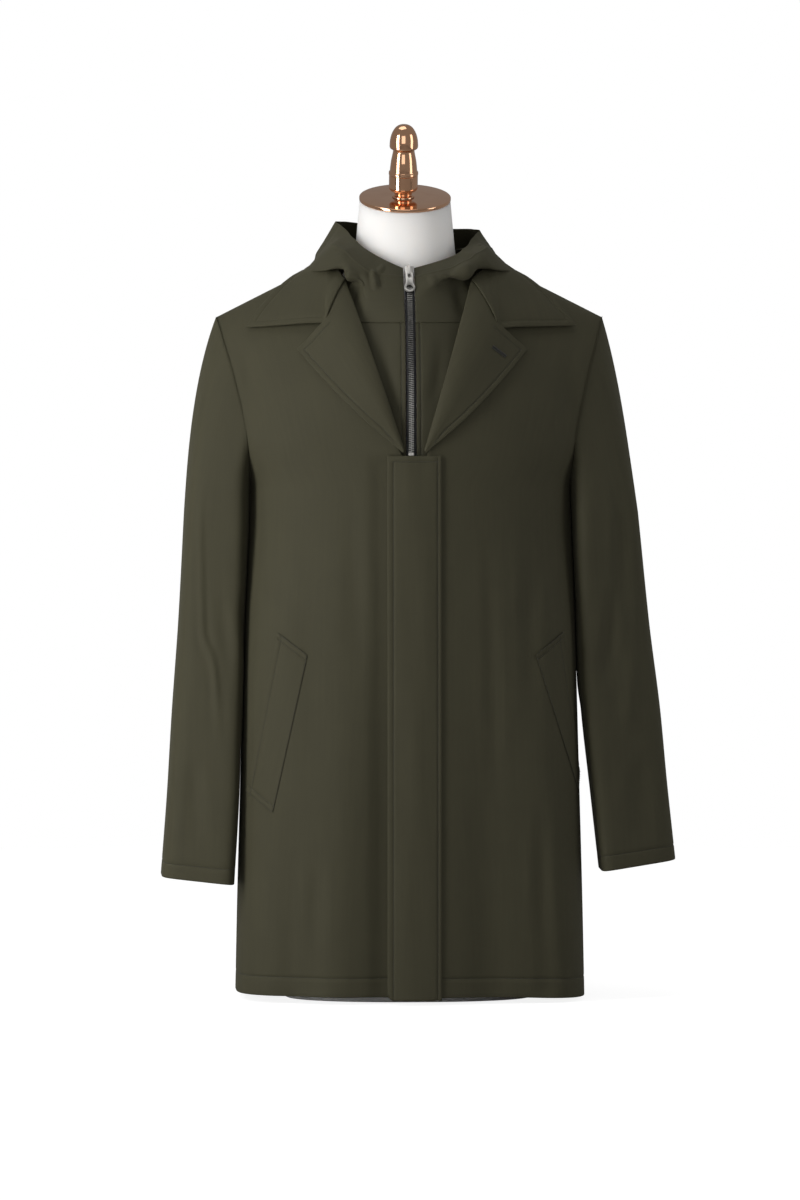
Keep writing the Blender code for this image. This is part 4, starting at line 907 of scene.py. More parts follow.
def makePlacket():
    half = placket["half"]
    left, right = -half + placket["inset"], half - placket["rightInset"]
    top = opening["break"] - placket["inset"]
    x, z = np.meshgrid(
        withLines(np.linspace(-half, half, placket["columns"] + 1), [left, right]),
        withLines(np.linspace(placket["bottom"], opening["break"], placket["rows"] + 1), [top]),
    )
    lines = np.maximum(np.maximum(groove(x - left) * (z < top + sewing["slack"]), groove(x - right)),
                       groove(z - top) * (x > left - sewing["slack"]) * (x < right))
    inside = np.clip((x - left) / (right - left), 0, 1)
    pillow = placket["pillow"] * np.sin(math.pi * inside) * np.clip((top - z) / 0.03, 0, 1)
    ripple = 0.0007 * np.sin(17 * z + 3) * np.sin(math.pi * inside) * np.sin(x * 140 + 5 * z)
    bend = np.clip(1 - (x + half) / placket["corner"], 0, 1)
    foot = np.clip(1 - (z - placket["bottom"]) / 0.05, 0, 1)
    raised = placket["corner"] * (1 - np.sqrt(1 - bend ** 2)) * foot
    net = coatPoint(x, z + raised, faceFront, coat["layerGap"] + placket["thick"] + pillow + ripple - lines)
    out = netNormals(net, -1)
    sewPiece("placketStrip", "placket", net, out, placket["thick"], oliveTwill)
    columnAt = lambda place: int(np.argmin(np.abs(x[0] - place)))
    row = int(np.argmin(np.abs(z[:, 0] - top)))
    for place in (left, right):
        sewn(net[2:row + 1, columnAt(place)], out[2:row + 1, columnAt(place)])
    sewn(net[row, columnAt(left):columnAt(right) + 1], out[row, columnAt(left):columnAt(right) + 1])


makePlacket()

welt = {
    "corners": {
        wearerRight: [(0.1590, 0.4370), (0.1250, 0.4110), (0.1650, 0.2255), (0.1945, 0.2490)],
        wearerLeft: [(0.1770, 0.4364), (0.1440, 0.4110), (0.1962, 0.2480), (0.1990, 0.2700)],
    },
    "gap": 0.0003, "thick": 0.0006, "rows": 66, "columns": 22, "endInset": 0.0065, "sideInset": 0.0060,
    "gape": {wearerRight: (0.0007, 0.0006), wearerLeft: (0.0014, 0.0003)}, "gapeLong": 0.0065,
}


def makeWelt(side):
    topOut, topIn, lowIn, lowOut = np.array(welt["corners"][side])
    long, wide = np.linalg.norm(lowIn - topIn), np.linalg.norm(topOut - topIn)
    ends = [welt["endInset"], long - welt["endInset"]]
    sides = [wide - welt["sideInset"]]
    down = withLines(np.linspace(0, long, welt["rows"] + 1), ends)
    across = withLines(np.linspace(0, wide, welt["columns"] + 1), sides)
    d, a = (down / long)[:, None, None], (across / wide)[None, :, None]
    top, low = topIn + (topOut - topIn) * a, lowIn + (lowOut - lowIn) * a
    view = top + (low - top) * d
    lines = np.zeros((len(down), len(across)))
    for end in ends:
        lines = np.maximum(lines, groove(down - end)[:, None])
    for place in sides:
        lines = np.maximum(lines, groove(across - place)[None])
    gape = 0  # the ends stand off a little
    for most, away in zip(welt["gape"][side], (down, long - down)):
        gape = gape + most * np.exp(-(away / welt["gapeLong"]) ** 2)[:, None]
    net = coatPoint(side * view[..., 0], view[..., 1], faceFront, welt["gap"] + welt["thick"] + gape - lines)
    out = netNormals(net, side)
    sewPiece("pocketWelt" + sideWord[side], "pocket_welt_" + sideWord[side].lower(), net, out, welt["thick"],
             oliveTwill)
    # the rows at 0 and long and column 0 lay dark thread on the welt's very edges as painted seam shadow; the
    # rows at the end insets and the side line are real topstitching
    for end in [0, *ends, long]:
        row = int(np.argmin(np.abs(down - end)))
        sewn(net[row, 1:-1], out[row, 1:-1])
    for place in [0, *sides]:
        column = int(np.argmin(np.abs(across - place)))
        sewn(net[1:-1, column], out[1:-1, column])


for side in (wearerRight, wearerLeft):
    makeWelt(side)
print("placket and welts")

bib = {
    "inset": 0.0075, "bottom": 0.585, "top": 0.8046, "half": (0.060, 0.100), "zipX": -0.0035, "zipHalf": 0.0066,
    "stitch": 0.0055, "rows": 80, "columns": 40,
    "creases": [
        foldLine(0.008, -0.0014, (-0.040, 0.80), (-0.034, 0.74), (-0.024, 0.68)),
        foldLine(0.008, -0.0014, (0.036, 0.80), (0.030, 0.74), (0.018, 0.69)),
    ],
}


def makeBib(side):
    z = np.linspace(bib["bottom"], bib["top"], bib["rows"] + 1)[:, None]
    width = np.linspace(*bib["half"], bib["rows"] + 1)[:, None] - bib["zipHalf"]
    near = withLines(np.linspace(0, 0.012, 8), [bib["stitch"]])
    inset = np.concatenate([np.broadcast_to(near, (len(z), len(near))),
                            0.012 + (width - 0.012) * np.linspace(0, 1, bib["columns"] + 1)[1:]], axis=1)
    x = bib["zipX"] + side * (bib["zipHalf"] + inset)
    z = z + np.zeros_like(x)
    lift = creaseHeight(x, z, bib["creases"]) - bib["inset"] - groove(inset - bib["stitch"])
    net = coatPoint(x, z, faceFront, lift)
    out = netNormals(net, -side)
    sewPiece("bib" + sideWord[side], "bib_" + sideWord[side].lower(), net, out, coat["lightCloth"], bibTwill)
    column = int(np.argmin(np.abs(near - bib["stitch"])))
    sewn(net[2:-1, column], out[2:-1, column], "bib")


hood = {
    "turn": [0, 25, 35, 45, 52, 60, 80, 100, 115, 130, 150, 180],
    "seamR": [0.1115, 0.1130, 0.1165, 0.1195, 0.0978, 0.0800, 0.0720, 0.0700, 0.0700, 0.0700, 0.0700, 0.0700],
    "seamZ": [0.8042, 0.8042, 0.8042, 0.8042, 0.8380, 0.8660, 0.8800, 0.8840, 0.8860, 0.8860, 0.8860, 0.8840],
    "underR": {
        wearerRight: [0.1028, 0.1038, 0.0935, 0.0845, 0.0806, 0.0835,
                      0.0855, 0.0890, 0.0955, 0.1030, 0.1120, 0.1120],
        wearerLeft: [0.1028, 0.0900, 0.0812, 0.0800, 0.0806, 0.0835,
                     0.0855, 0.0890, 0.0955, 0.1030, 0.1120, 0.1120],
    },
    "underZ": {
        wearerRight: [0.8220, 0.8225, 0.8400, 0.8500, 0.8610, 0.8800,
                      0.8920, 0.8925, 0.8880, 0.8760, 0.8600, 0.8580],
        wearerLeft: [0.8220, 0.8450, 0.8510, 0.8552, 0.8610, 0.8800,
                     0.8920, 0.8925, 0.8880, 0.8760, 0.8600, 0.8580],
    },
    "foldR": {
        wearerRight: [0.0924, 0.0980, 0.0995, 0.1010, 0.1060, 0.1130,
                      0.1215, 0.1265, 0.1330, 0.1500, 0.1680, 0.1560],
        wearerLeft: [0.0924, 0.0985, 0.1010, 0.1030, 0.1065, 0.1130,
                     0.1215, 0.1265, 0.1330, 0.1500, 0.1680, 0.1560],
    },
    "foldZ": {
        wearerRight: [0.8380, 0.8370, 0.8530, 0.8615, 0.8655, 0.8620,
                      0.8595, 0.8550, 0.8430, 0.7850, 0.7050, 0.6550],
        wearerLeft: [0.8380, 0.8550, 0.8590, 0.8635, 0.8660, 0.8625,
                     0.8595, 0.8550, 0.8430, 0.7850, 0.7050, 0.6550],
    },
    "rollR": [0.0810, 0.0880, 0.0915, 0.0930, 0.0935, 0.0930, 0.0925, 0.0960, 0.1110, 0.1360, 0.1640, 0.1720],
    "rollZ": {
        wearerRight: [0.8530, 0.8570, 0.8650, 0.8750, 0.8820, 0.8840,
                      0.8890, 0.8900, 0.8870, 0.8660, 0.8000, 0.7750],
        wearerLeft: [0.8530, 0.8640, 0.8695, 0.8760, 0.8820, 0.8840,
                     0.8890, 0.8900, 0.8870, 0.8660, 0.8000, 0.7750],
    },
    "edgeR": [0.0685, 0.0685, 0.0690, 0.0695, 0.0695, 0.0695, 0.0705, 0.0805, 0.0925, 0.0925, 0.0900, 0.0830],
    "edgeZ": [0.8640, 0.8745, 0.8790, 0.8835, 0.8870, 0.8915, 0.8985, 0.9085, 0.9135, 0.9135, 0.9130, 0.9110],
    "lean": 0.0055, "neckY": 0.006, "turns": 140, "spans": 96, "tunnel": 0.755, "onBib": 49,
    "turnLong": 0.0017, "shareLong": 0.022,  # metres to a degree, and to a fourth of the profile
    # creases: lines of (turn in degrees, share along the profile from seam to edge)
    "creases": {
        wearerRight: [
            foldLine(0.0032, -0.0050, (27, 3.3), (23, 2.7), (19, 2.0)),
            foldLine(0.0034, -0.0017, (18, 3.7), (20, 3.3), (24, 2.9)),
            foldLine(0.0050, 0.0024, (30, 1.0), (31, 1.9), (29, 2.8)),
            foldLine(0.0062, -0.0060, (46, 0.3), (43, 1.2), (41, 2.0), (42, 2.8), tips=(1, 0)),
            foldLine(0.0070, -0.0016, (40, 2.4), (60, 2.9), (85, 3.2)),
            foldLine(0.0150, -0.0040, (150, 2.3), (140, 2.8), (120, 3.3)),
            foldLine(0.0140, -0.0035, (172, 2.5), (165, 3.0), (150, 3.5)),
        ],
        wearerLeft: [
            foldLine(0.0100, -0.0060, (44, 0.3), (39, 1.1), (36, 1.9), (40, 2.6), (48, 2.9), tips=(1, 0)),
            foldLine(0.0060, 0.0026, (23, 0.9), (21, 1.7), (20, 2.6)),
            foldLine(0.0034, -0.0014, (12, 1.6), (13, 2.3), (12, 3.0)),
            foldLine(0.0070, -0.0016, (42, 2.4), (62, 2.9), (88, 3.2)),
            foldLine(0.0150, -0.0040, (148, 2.3), (136, 2.8), (118, 3.3)),
            foldLine(0.0140, -0.0035, (170, 2.6), (160, 3.1), (146, 3.5)),
        ],
    },
}


def roundedProfile(points, shares):
    padded = np.concatenate([2 * points[:1] - points[1:2], points, 2 * points[-1:] - points[-2:-1]])
    found = []
    for share in shares:
        i = min(int(share), len(points) - 2)
        t = share - i
        a, b, c, d = padded[i:i + 4]
        found.append(b + 0.5 * t * (c - a + t * (2 * a - 5 * b + 4 * c - d + t * (3 * (b - c) + d - a))))
    return np.array(found)


def makeHood(side):
    places = ("seam", "under", "fold", "roll", "edge")
    tables = {place + k: hood[place + k] for place in places for k in "RZ"}
    ownTables = {name: table[side] if isinstance(table, dict) else table for name, table in tables.items()}
    columns = {name: smoothCurve(hood["turn"], table) for name, table in ownTables.items()}
    shares = withLines(np.linspace(0, 4, hood["spans"] + 1), [4 * hood["tunnel"]], step=0.03)
    outerShare = -1.2 + 2.2 * shares / 4
    turns = np.linspace(0, 180, hood["turns"] + 1)
    gap = coat["seamGap"] / 2
    net = []
    for turn in turns:
        profile = np.array([(columns[place + "R"](turn), columns[place + "Z"](turn)) for place in places])
        radius, height = roundedProfile(profile, shares).T
        angle = math.radians(turn)
        aside = gap + (bib["zipHalf"] - gap) * max(0, math.cos(angle))
        x = bib["zipX"] * max(0, math.cos(angle)) ** 4 + side * (aside + radius * math.sin(angle))
        lean = -side * hood["lean"] * math.sin(angle) * smoothStep(outerShare)
        net.append(np.stack([x, hood["neckY"] - radius * math.cos(angle), height + lean], axis=-1))
    net = np.array(net)
    onBib = coatPoint(net[:, 0, 0], net[:, 0, 2], faceFront, -bib["inset"])
    held = smoothStep((hood["onBib"] - turns) / 6)[:, None, None]
    held = held * (1 - smoothStep(shares / 1.2))[None, :, None]
    net = net + held * (onBib - net[:, 0])[:, None]
    out = netNormals(net, -side)
    turnLong, shareLong = hood["turnLong"], hood["shareLong"]
    scaled = [
        {**crease, "line": [(a * turnLong, b * shareLong) for a, b in crease["line"]]}
        for crease in hood["creases"][side]
    ]
    raised = creaseHeight(turns[:, None] * turnLong, shares[None] * shareLong, scaled)
    raised = raised - groove((shares - 4 * hood["tunnel"])[None] * shareLong)
    net = net + raised[..., None] * out
    out = netNormals(net, -side)
    out[-1, :, 0] = 0
    out = unit(out)
    sewPiece("hood" + sideWord[side], "hood_" + sideWord[side].lower(), net, out, coat["lightCloth"],
             bibTwill)
    column = int(np.argmin(np.abs(shares - 4 * hood["tunnel"])))
    sewn(net[2:, column], out[2:, column], "bib")


for side in (wearerRight, wearerLeft):
    makeHood(side)
    makeBib(side)
print("hood and bib")

# zip: woven tape, teeth, bottom box, slider and pull

zipper = {
    "tapeInset": 0.0087, "tapeThick": 0.0010, "tapeTop": 0.8640,
    "chainBottom": 0.640, "stopHeight": 0.6475, "chainTop": 0.8555, "chainHalf": 0.0030,
    "pitch": 0.0026, "toothHigh": 0.00165, "toothThick": 0.0022, "noseLong": 0.0012,
}


def zipMaterial(name, mottleScale, low, high):
    material, tree, shader = newMaterial(name, Metallic=1.0, Specular_IOR_Level=0.5)
    place = tree.nodes.new("ShaderNodeTexCoord")
    mottle = addNode(tree, "ShaderNodeTexNoise", Scale=mottleScale, Detail=3)
    tree.links.new(place.outputs["Object"], mottle.inputs["Vector"])
    tree.links.new(colourRamp(tree, mottle.outputs[0], low, high), shader.inputs["Base Color"])
    tree.links.new(spreadValue(tree, mottle.outputs[0], 0.26, 0.46), shader.inputs["Roughness"])
    addBump(tree, shader, mottle.outputs[0], 0.15, 0.0001)
    return material


zipNickel = zipMaterial("zipNickel", 700, (0.33, 0.32, 0.30), (0.53, 0.515, 0.485))
toothNickel = zipMaterial("toothNickel", 240, (0.06, 0.058, 0.054), (0.47, 0.46, 0.435))  # mottled from nearly black to light at random


def makeTape():
    half = bib["zipHalf"] - 2 * coat["seamGap"]
    x, z = np.meshgrid(bib["zipX"] + np.linspace(-half, half, 13),
                       np.linspace(bib["bottom"], zipper["tapeTop"], 90))
    net = coatPoint(x, z, faceFront, -zipper["tapeInset"])
    sewPiece("zipTape", "zip_tape", net, netNormals(net, -1), zipper["tapeThick"], zipWeave)


def plainObject(name, mesh, material):
    mesh.materials.clear()
    mesh.materials.append(material)
    piece = bpy.data.objects.new(name, mesh)
    bpy.context.scene.collection.objects.link(piece)
    return piece


def toothMesh(side):  # outline in the zip's plane, pushed out on both sides
    base, nose, tall = -zipper["chainHalf"], zipper["noseLong"] - 0.0006, zipper["toothHigh"] / 2
    outline = [
        (base, -tall * 0.9), (base + 0.0003, -tall), (-0.0008, -tall), (-0.0002, -tall * 0.62),
        (nose - 0.0004, -tall * 0.80), (nose, -tall * 0.4), (nose, tall * 0.4), (nose - 0.0004, tall * 0.80),
        (-0.0002, tall * 0.62), (-0.0008, tall), (base + 0.0003, tall), (base, tall * 0.9),
    ]
    shape = bmesh.new()
    half = zipper["toothThick"] / 2
    rings = []
    for depth, pull in ((-half, 0.72), (-half * 0.6, 1.0), (half * 0.6, 1.0), (half, 0.72)):
        rings.append([shape.verts.new((-side * x, y * pull, depth)) for x, y in outline])
    for low, high in zip(rings, rings[1:]):
        for i in range(len(outline)):
            j = (i + 1) % len(outline)
            shape.faces.new((low[i], low[j], high[j], high[i]))
    shape.faces.new(rings[0])
    shape.faces.new(rings[-1])
    bmesh.ops.recalc_face_normals(shape, faces=shape.faces)
    mesh = bpy.data.meshes.new("zipTooth")
    shape.to_mesh(mesh)
    shape.free()
    return mesh


def nodeTree(name, inputs):
    tree = bpy.data.node_groups.new(name, "GeometryNodeTree")
    tree.interface.new_socket(name="Path", in_out="INPUT", socket_type="NodeSocketGeometry")
    for socket, kind in inputs:
        tree.interface.new_socket(name=socket, in_out="INPUT", socket_type=kind)
    tree.interface.new_socket(name="Result", in_out="OUTPUT", socket_type="NodeSocketGeometry")
    return tree, tree.nodes.new("NodeGroupInput"), tree.nodes.new("NodeGroupOutput")


def repeatAlong(tree, inside, outside, unitShape, axis, pivot, scale=None):  # one shape at every pitch
    links = tree.links
    line = tree.nodes.new("GeometryNodeMeshToCurve")
    spaced = tree.nodes.new("GeometryNodeResampleCurve")
    spaced.mode = "LENGTH"
    tangent = tree.nodes.new("GeometryNodeInputTangent")
    turned = tree.nodes.new("FunctionNodeAlignRotationToVector")
    turned.axis, turned.pivot_axis = axis, pivot
    placed = tree.nodes.new("GeometryNodeInstanceOnPoints")
    real = tree.nodes.new("GeometryNodeRealizeInstances")
    finish = tree.nodes.new("GeometryNodeSetMaterial")
    links.new(inside.outputs["Path"], line.inputs[0])
    links.new(line.outputs[0], spaced.inputs["Curve"])
    links.new(inside.outputs["Pitch"], spaced.inputs["Length"])
    links.new(tangent.outputs[0], turned.inputs["Vector"])
    links.new(spaced.outputs[0], placed.inputs["Points"])
    links.new(unitShape, placed.inputs["Instance"])
    links.new(turned.outputs[0], placed.inputs["Rotation"])
    if scale is not None:
        links.new(scale, placed.inputs["Scale"])
    links.new(placed.outputs[0], real.inputs[0])
    links.new(real.outputs[0], finish.inputs["Geometry"])
    links.new(inside.outputs["Finish"], finish.inputs["Material"])
    links.new(finish.outputs[0], outside.inputs[0])


def toothTree():
    tree, inside, outside = nodeTree("teethAlong", [
        ("Pitch", "NodeSocketFloat"), ("Tooth", "NodeSocketObject"), ("Finish", "NodeSocketMaterial"),
    ])
    info = tree.nodes.new("GeometryNodeObjectInfo")
    tree.links.new(inside.outputs["Tooth"], info.inputs[0])
    repeatAlong(tree, inside, outside, info.outputs["Geometry"], "Y", "X")
    return tree


def stitchTree():
    tree, inside, outside = nodeTree("stitchesAlong", [
        ("Pitch", "NodeSocketFloat"), ("Long", "NodeSocketFloat"), ("Thick", "NodeSocketFloat"),
        ("Finish", "NodeSocketMaterial"),
    ])
    thread = addNode(tree, "GeometryNodeMeshUVSphere", Segments=6, Rings=5, Radius=0.5)
    size = tree.nodes.new("ShaderNodeCombineXYZ")
    tree.links.new(inside.outputs["Thick"], size.inputs[0])
    tree.links.new(inside.outputs["Thick"], size.inputs[1])
    tree.links.new(inside.outputs["Long"], size.inputs[2])
    repeatAlong(tree, inside, outside, thread.outputs["Mesh"], "Z", "AUTO", size.outputs[0])
    return tree


def runTree(name, tree, paths, values, body, smooth=True):  # paths in, plain mesh out
    points, edges = [], []
    for path in paths:
        first = len(points)
        points += [tuple(point) for point in path]
        edges += [(first + i, first + i + 1) for i in range(len(path) - 1)]
    mesh = bpy.data.meshes.new(name + "Path")
    mesh.from_pydata(points, edges, [])
    holder = bpy.data.objects.new(name + "Path", mesh)
    bpy.context.scene.collection.objects.link(holder)
    modifier = holder.modifiers.new(name, "NODES")
    modifier.node_group = tree
    for item in tree.interface.items_tree:
        if item.in_out == "INPUT" and item.name in values:
            modifier[item.identifier] = values[item.name]
    bpy.context.view_layer.update()
    made = bpy.data.meshes.new_from_object(holder.evaluated_get(bpy.context.evaluated_depsgraph_get()))
    bpy.data.objects.remove(holder)
    if smooth:
        made.shade_smooth()
    made.name = name
    piece = bpy.data.objects.new(name, made)
    bpy.context.scene.collection.objects.link(piece)
    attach(piece, body)
    return piece


def makeTeeth():
    tree = toothTree()
    inset = zipper["tapeInset"] - coat["seamGap"] - zipper["toothThick"] / 2 - 0.0001
    for side in (wearerRight, wearerLeft):
        tooth = plainObject("zipTooth" + sideWord[side], toothMesh(side), toothNickel)
        shift = 0 if side == wearerRight else zipper["pitch"] / 2
        heights = np.linspace(zipper["chainBottom"] + shift, zipper["chainTop"], 60)
        path = coatPoint(np.full(60, bib["zipX"]), heights, faceFront, -inset)
        values = {"Pitch": zipper["pitch"], "Tooth": tooth, "Finish": toothNickel}
        piece = runTree("zipTeeth" + sideWord[side], tree, [path], values, "coat", smooth=False)
        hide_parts("zip_chain")
        bpy.data.objects.remove(tooth)


def cadCopy(name, node, material, body, bevel):  # the solid's own shape with softened edges
    shape = bmesh.new()
    shape.from_mesh(frame["nodes"][node].data)
    bmesh.ops.remove_doubles(shape, verts=shape.verts, dist=0.00001)
    bmesh.ops.dissolve_limit(shape, angle_limit=math.radians(2), verts=shape.verts, edges=shape.edges)
    bmesh.ops.recalc_face_normals(shape, faces=shape.faces)
    mesh = bpy.data.meshes.new(name)
    shape.to_mesh(mesh)
    shape.free()
    mesh.shade_smooth()
    piece = plainObject(name, mesh, material)
    soft = piece.modifiers.new("softEdge", "BEVEL")
    soft.width, soft.segments, soft.limit_method, soft.angle_limit = bevel, 2, "ANGLE", math.radians(35)
    soft.harden_normals = True
    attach(piece, body)
    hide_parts(node)
    return piece


def makeStop():  # little box at the foot of the chain
    point = coatPoint(bib["zipX"], zipper["stopHeight"], faceFront, -(zipper["tapeInset"] - 0.0026))
    shape = bmesh.new()
    bmesh.ops.create_cube(shape, size=1)
    bmesh.ops.scale(shape, vec=(0.0066, 0.0036, 0.0046), verts=shape.verts)
    bmesh.ops.bevel(shape, geom=list(shape.edges), offset=0.0008, segments=2, affect="EDGES", profile=0.5)
    bmesh.ops.translate(shape, vec=Vector(point), verts=shape.verts)
    mesh = bpy.data.meshes.new("zipStop")
    shape.to_mesh(mesh)
    shape.free()
    piece = plainObject("zipStop", mesh, zipNickel)
    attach(piece, "coat")


makeTape()
makeTeeth()
makeStop()
cadCopy("zipSlider", "zip_slider", zipNickel, "coat", 0.00025)
cadCopy("zipPull", "zip_pull", zipNickel, "pull", 0.00022)
print("zip: tape, teeth, slider, pull")

# sewing thread


def threadMaterial(name, dark, light):
    material, tree, shader = newMaterial(name, Roughness=0.6, Sheen_Weight=0.1)
    place = tree.nodes.new("ShaderNodeTexCoord")
    ply = addNode(tree, "ShaderNodeTexNoise", Scale=2600)
    tree.links.new(place.outputs["Object"], ply.inputs["Vector"])
    tree.links.new(colourRamp(tree, ply.outputs[0], dark, light), shader.inputs["Base Color"])
    addBump(tree, shader, ply.outputs[0], 0.3, 0.0001)
    return material


# dark olive thread; on the welts' very edges it is painted seam shadow
oliveThread = threadMaterial("oliveThread", (0.013, 0.0125, 0.008), (0.022, 0.021, 0.014))
stitches = {"Pitch": 0.0030, "Long": 0.0025, "Thick": 0.00052, "Finish": oliveThread}
buttonhole = {"start": (0.0934, 0.7725), "end": (0.1089, 0.7610), "half": 0.0026, "pitch": 0.00055}


def buttonholePaths():  # paths across the buttonhole, one at each pitch along it, on the wearer's left lapel
    a, b = np.array(buttonhole["start"]), np.array(buttonhole["end"])
    along = unit(b - a)
    aside = np.array([-along[1], along[0]])
    net, out = lapelNets[wearerLeft]
    flat = net[..., [0, 2]].reshape(-1, 2)
    paths = []
    count = int(np.linalg.norm(b - a) / buttonhole["pitch"])
    for share in np.linspace(0, 1, count):
        middle = a + (b - a) * share
        ends = np.array([middle - aside * buttonhole["half"], middle + aside * buttonhole["half"]])
        spot = int(np.argmin(np.sum((flat - middle) ** 2, axis=1)))
        base, up = net.reshape(-1, 3)[spot], out.reshape(-1, 3)[spot]
        path = []
        for x, z in ends:
            y = base[1] - (up[0] * (x - base[0]) + up[2] * (z - base[2])) / up[1]
            path.append(np.array([x, y, z]) + 0.0004 * up)
        paths.append(path)
    return paths


def makeThreads():
    tree = stitchTree()
    # the coat's threads include the painted seam shadow on the welts' edges
    for kind, name, slotName in (("coat", "coatStitches", "coating"), ("bib", "bibStitches", "bib_cloth")):
        piece = runTree(name, tree, sewnLines[kind], stitches, "coat")
    paths = []
    for p, q in map(np.array, buttonholePaths()):
        paths.append([(p + q) / 2 - (q - p) * 0.02, (p + q) / 2 + (q - p) * 0.02])
    values = {**stitches, "Pitch": 1.0, "Long": 2 * buttonhole["half"], "Thick": 0.00075}
    piece = runTree("buttonhole", tree, paths, values, "coat")


makeThreads()
print("stitches and buttonhole")

# dress form

form = {
    "height": [0.000, 0.100, 0.200, 0.320, 0.420, 0.540, 0.620, 0.720, 0.800, 0.900],
    "halfWidth": [0.1500, 0.1600, 0.1680, 0.1580, 0.1480, 0.1620, 0.1720, 0.1840, 0.2000, 0.2150],
    faceFront: [0.100, 0.108, 0.112, 0.106, 0.102, 0.112, 0.118, 0.116, 0.112, 0.110],
    faceBack: [0.105, 0.115, 0.122, 0.112, 0.100, 0.108, 0.112, 0.110, 0.106, 0.102],
    "drop": 0.0036, "sidePower": 2.3, "footRound": 0.004, "neckX": -0.0045, "neckY": 0.006,
    "neckBase": 0.886, "baseRadius": 0.0590, "neckTop": 0.9440, "topRadius": 0.0538,
    "blend": 0.800, "lean": math.radians(16.2), "sides": 144,
    "capRadius": 0.0543, "capThick": 0.0040, "capRound": 0.0008, "finialShift": -0.0022,
    # finial: radius, height above the cap, from the tip down
    "finial": [
        (0.0000, 0.0890), (0.0050, 0.0882), (0.0095, 0.0856), (0.0130, 0.0808), (0.0154, 0.0748),
        (0.0166, 0.0685), (0.0169, 0.0625), (0.0164, 0.0606), (0.0132, 0.0588), (0.0127, 0.0570),
        (0.0132, 0.0535), (0.0150, 0.0440), (0.0160, 0.0350), (0.0162, 0.0322), (0.0174, 0.0306),
        (0.0175, 0.0284), (0.0171, 0.0273), (0.0171, 0.0118), (0.0152, 0.0084), (0.0108, 0.0066),
        (0.0104, 0.0036), (0.0130, 0.0015), (0.0132, 0.0004), (0.0000, 0.0004),
    ],
}


def jerseyMaterial():
    material, tree, shader = newMaterial(
        "formJersey", Sheen_Weight=0.15, Sheen_Roughness=0.4, Specular_IOR_Level=0.3, Subsurface_Weight=0.7,
        Subsurface_Scale=0.03, Subsurface_Radius=(1.0, 0.95, 0.9),
    )
    place = tree.nodes.new("ShaderNodeTexCoord")
    knit = addNode(tree, "ShaderNodeTexNoise", Scale=900, Detail=2)
    cloud = addNode(tree, "ShaderNodeTexNoise", Scale=9)
    tree.links.new(place.outputs["Object"], knit.inputs["Vector"])
    tree.links.new(place.outputs["Object"], cloud.inputs["Vector"])
    knitted = mathNode(tree, "MULTIPLY", knit.outputs[0], 0.5)
    clouded = mathNode(tree, "MULTIPLY", cloud.outputs[0], 0.5)
    factor = mathNode(tree, "ADD", knitted, clouded)
    colour = colourRamp(tree, factor, (0.85, 0.825, 0.795), (0.92, 0.895, 0.865))
    tree.links.new(colour, shader.inputs["Base Color"])
    tree.links.new(spreadValue(tree, factor, 0.62, 0.80), shader.inputs["Roughness"])
    addBump(tree, shader, knit.outputs[0], 0.25, 0.0001)
    return material


def copperMaterial():
    material, tree, shader = newMaterial("roseCopper", Metallic=1.0)
    place = tree.nodes.new("ShaderNodeTexCoord")
    smear = addNode(tree, "ShaderNodeTexNoise", Scale=60, Detail=4)
    tree.links.new(place.outputs["Object"], smear.inputs["Vector"])
    colour = colourRamp(tree, smear.outputs[0], (0.74, 0.41, 0.245), (0.87, 0.52, 0.32))
    tree.links.new(colour, shader.inputs["Base Color"])
    tree.links.new(spreadValue(tree, smear.outputs[0], 0.05, 0.12), shader.inputs["Roughness"])
    return material


def formRing(height):
    half = form["sides"] // 2
    under = (coat["ridgeTop"] - form["drop"] - height) / coat["slope"]
    reach = math.sqrt(under ** 2 - coat["ridgeRound"] ** 2)
    widest = float(smoothCurve(form["height"], form["halfWidth"])(height))
    x = -min(widest, reach) * np.cos(np.linspace(0, math.pi, half + 1))
    lines = {}
    for face in (faceFront, faceBack):
        drop = (ridgeHeight(x) - form["drop"] - height) / coat["reach"][face]
        shoulder = roundOff(1 - np.clip(drop, 0, 1), coat["power"][face])
        deep = smoothCurve(form["height"], form[face])(height)
        lines[face] = np.stack([x, face * deep * roundOff(x / widest, form["sidePower"]) * shoulder], axis=-1)
        lines[face][[0, -1], 1] = 0
    return np.concatenate([lines[faceFront], lines[faceBack][-2:0:-1]])


def neckRing(share):
    turn = np.linspace(0, 2 * math.pi, form["sides"], endpoint=False)
    radius = form["baseRadius"] + (form["topRadius"] - form["baseRadius"]) * share
    x = form["neckX"] - radius * np.cos(turn)
    y = form["neckY"] - radius * np.sin(turn)
    rise = form["neckBase"] + (form["neckTop"] - form["neckBase"]) * share
    return np.stack([x, y, rise + (y - form["neckY"]) * math.tan(form["lean"] * smoothStep(share))], axis=-1)


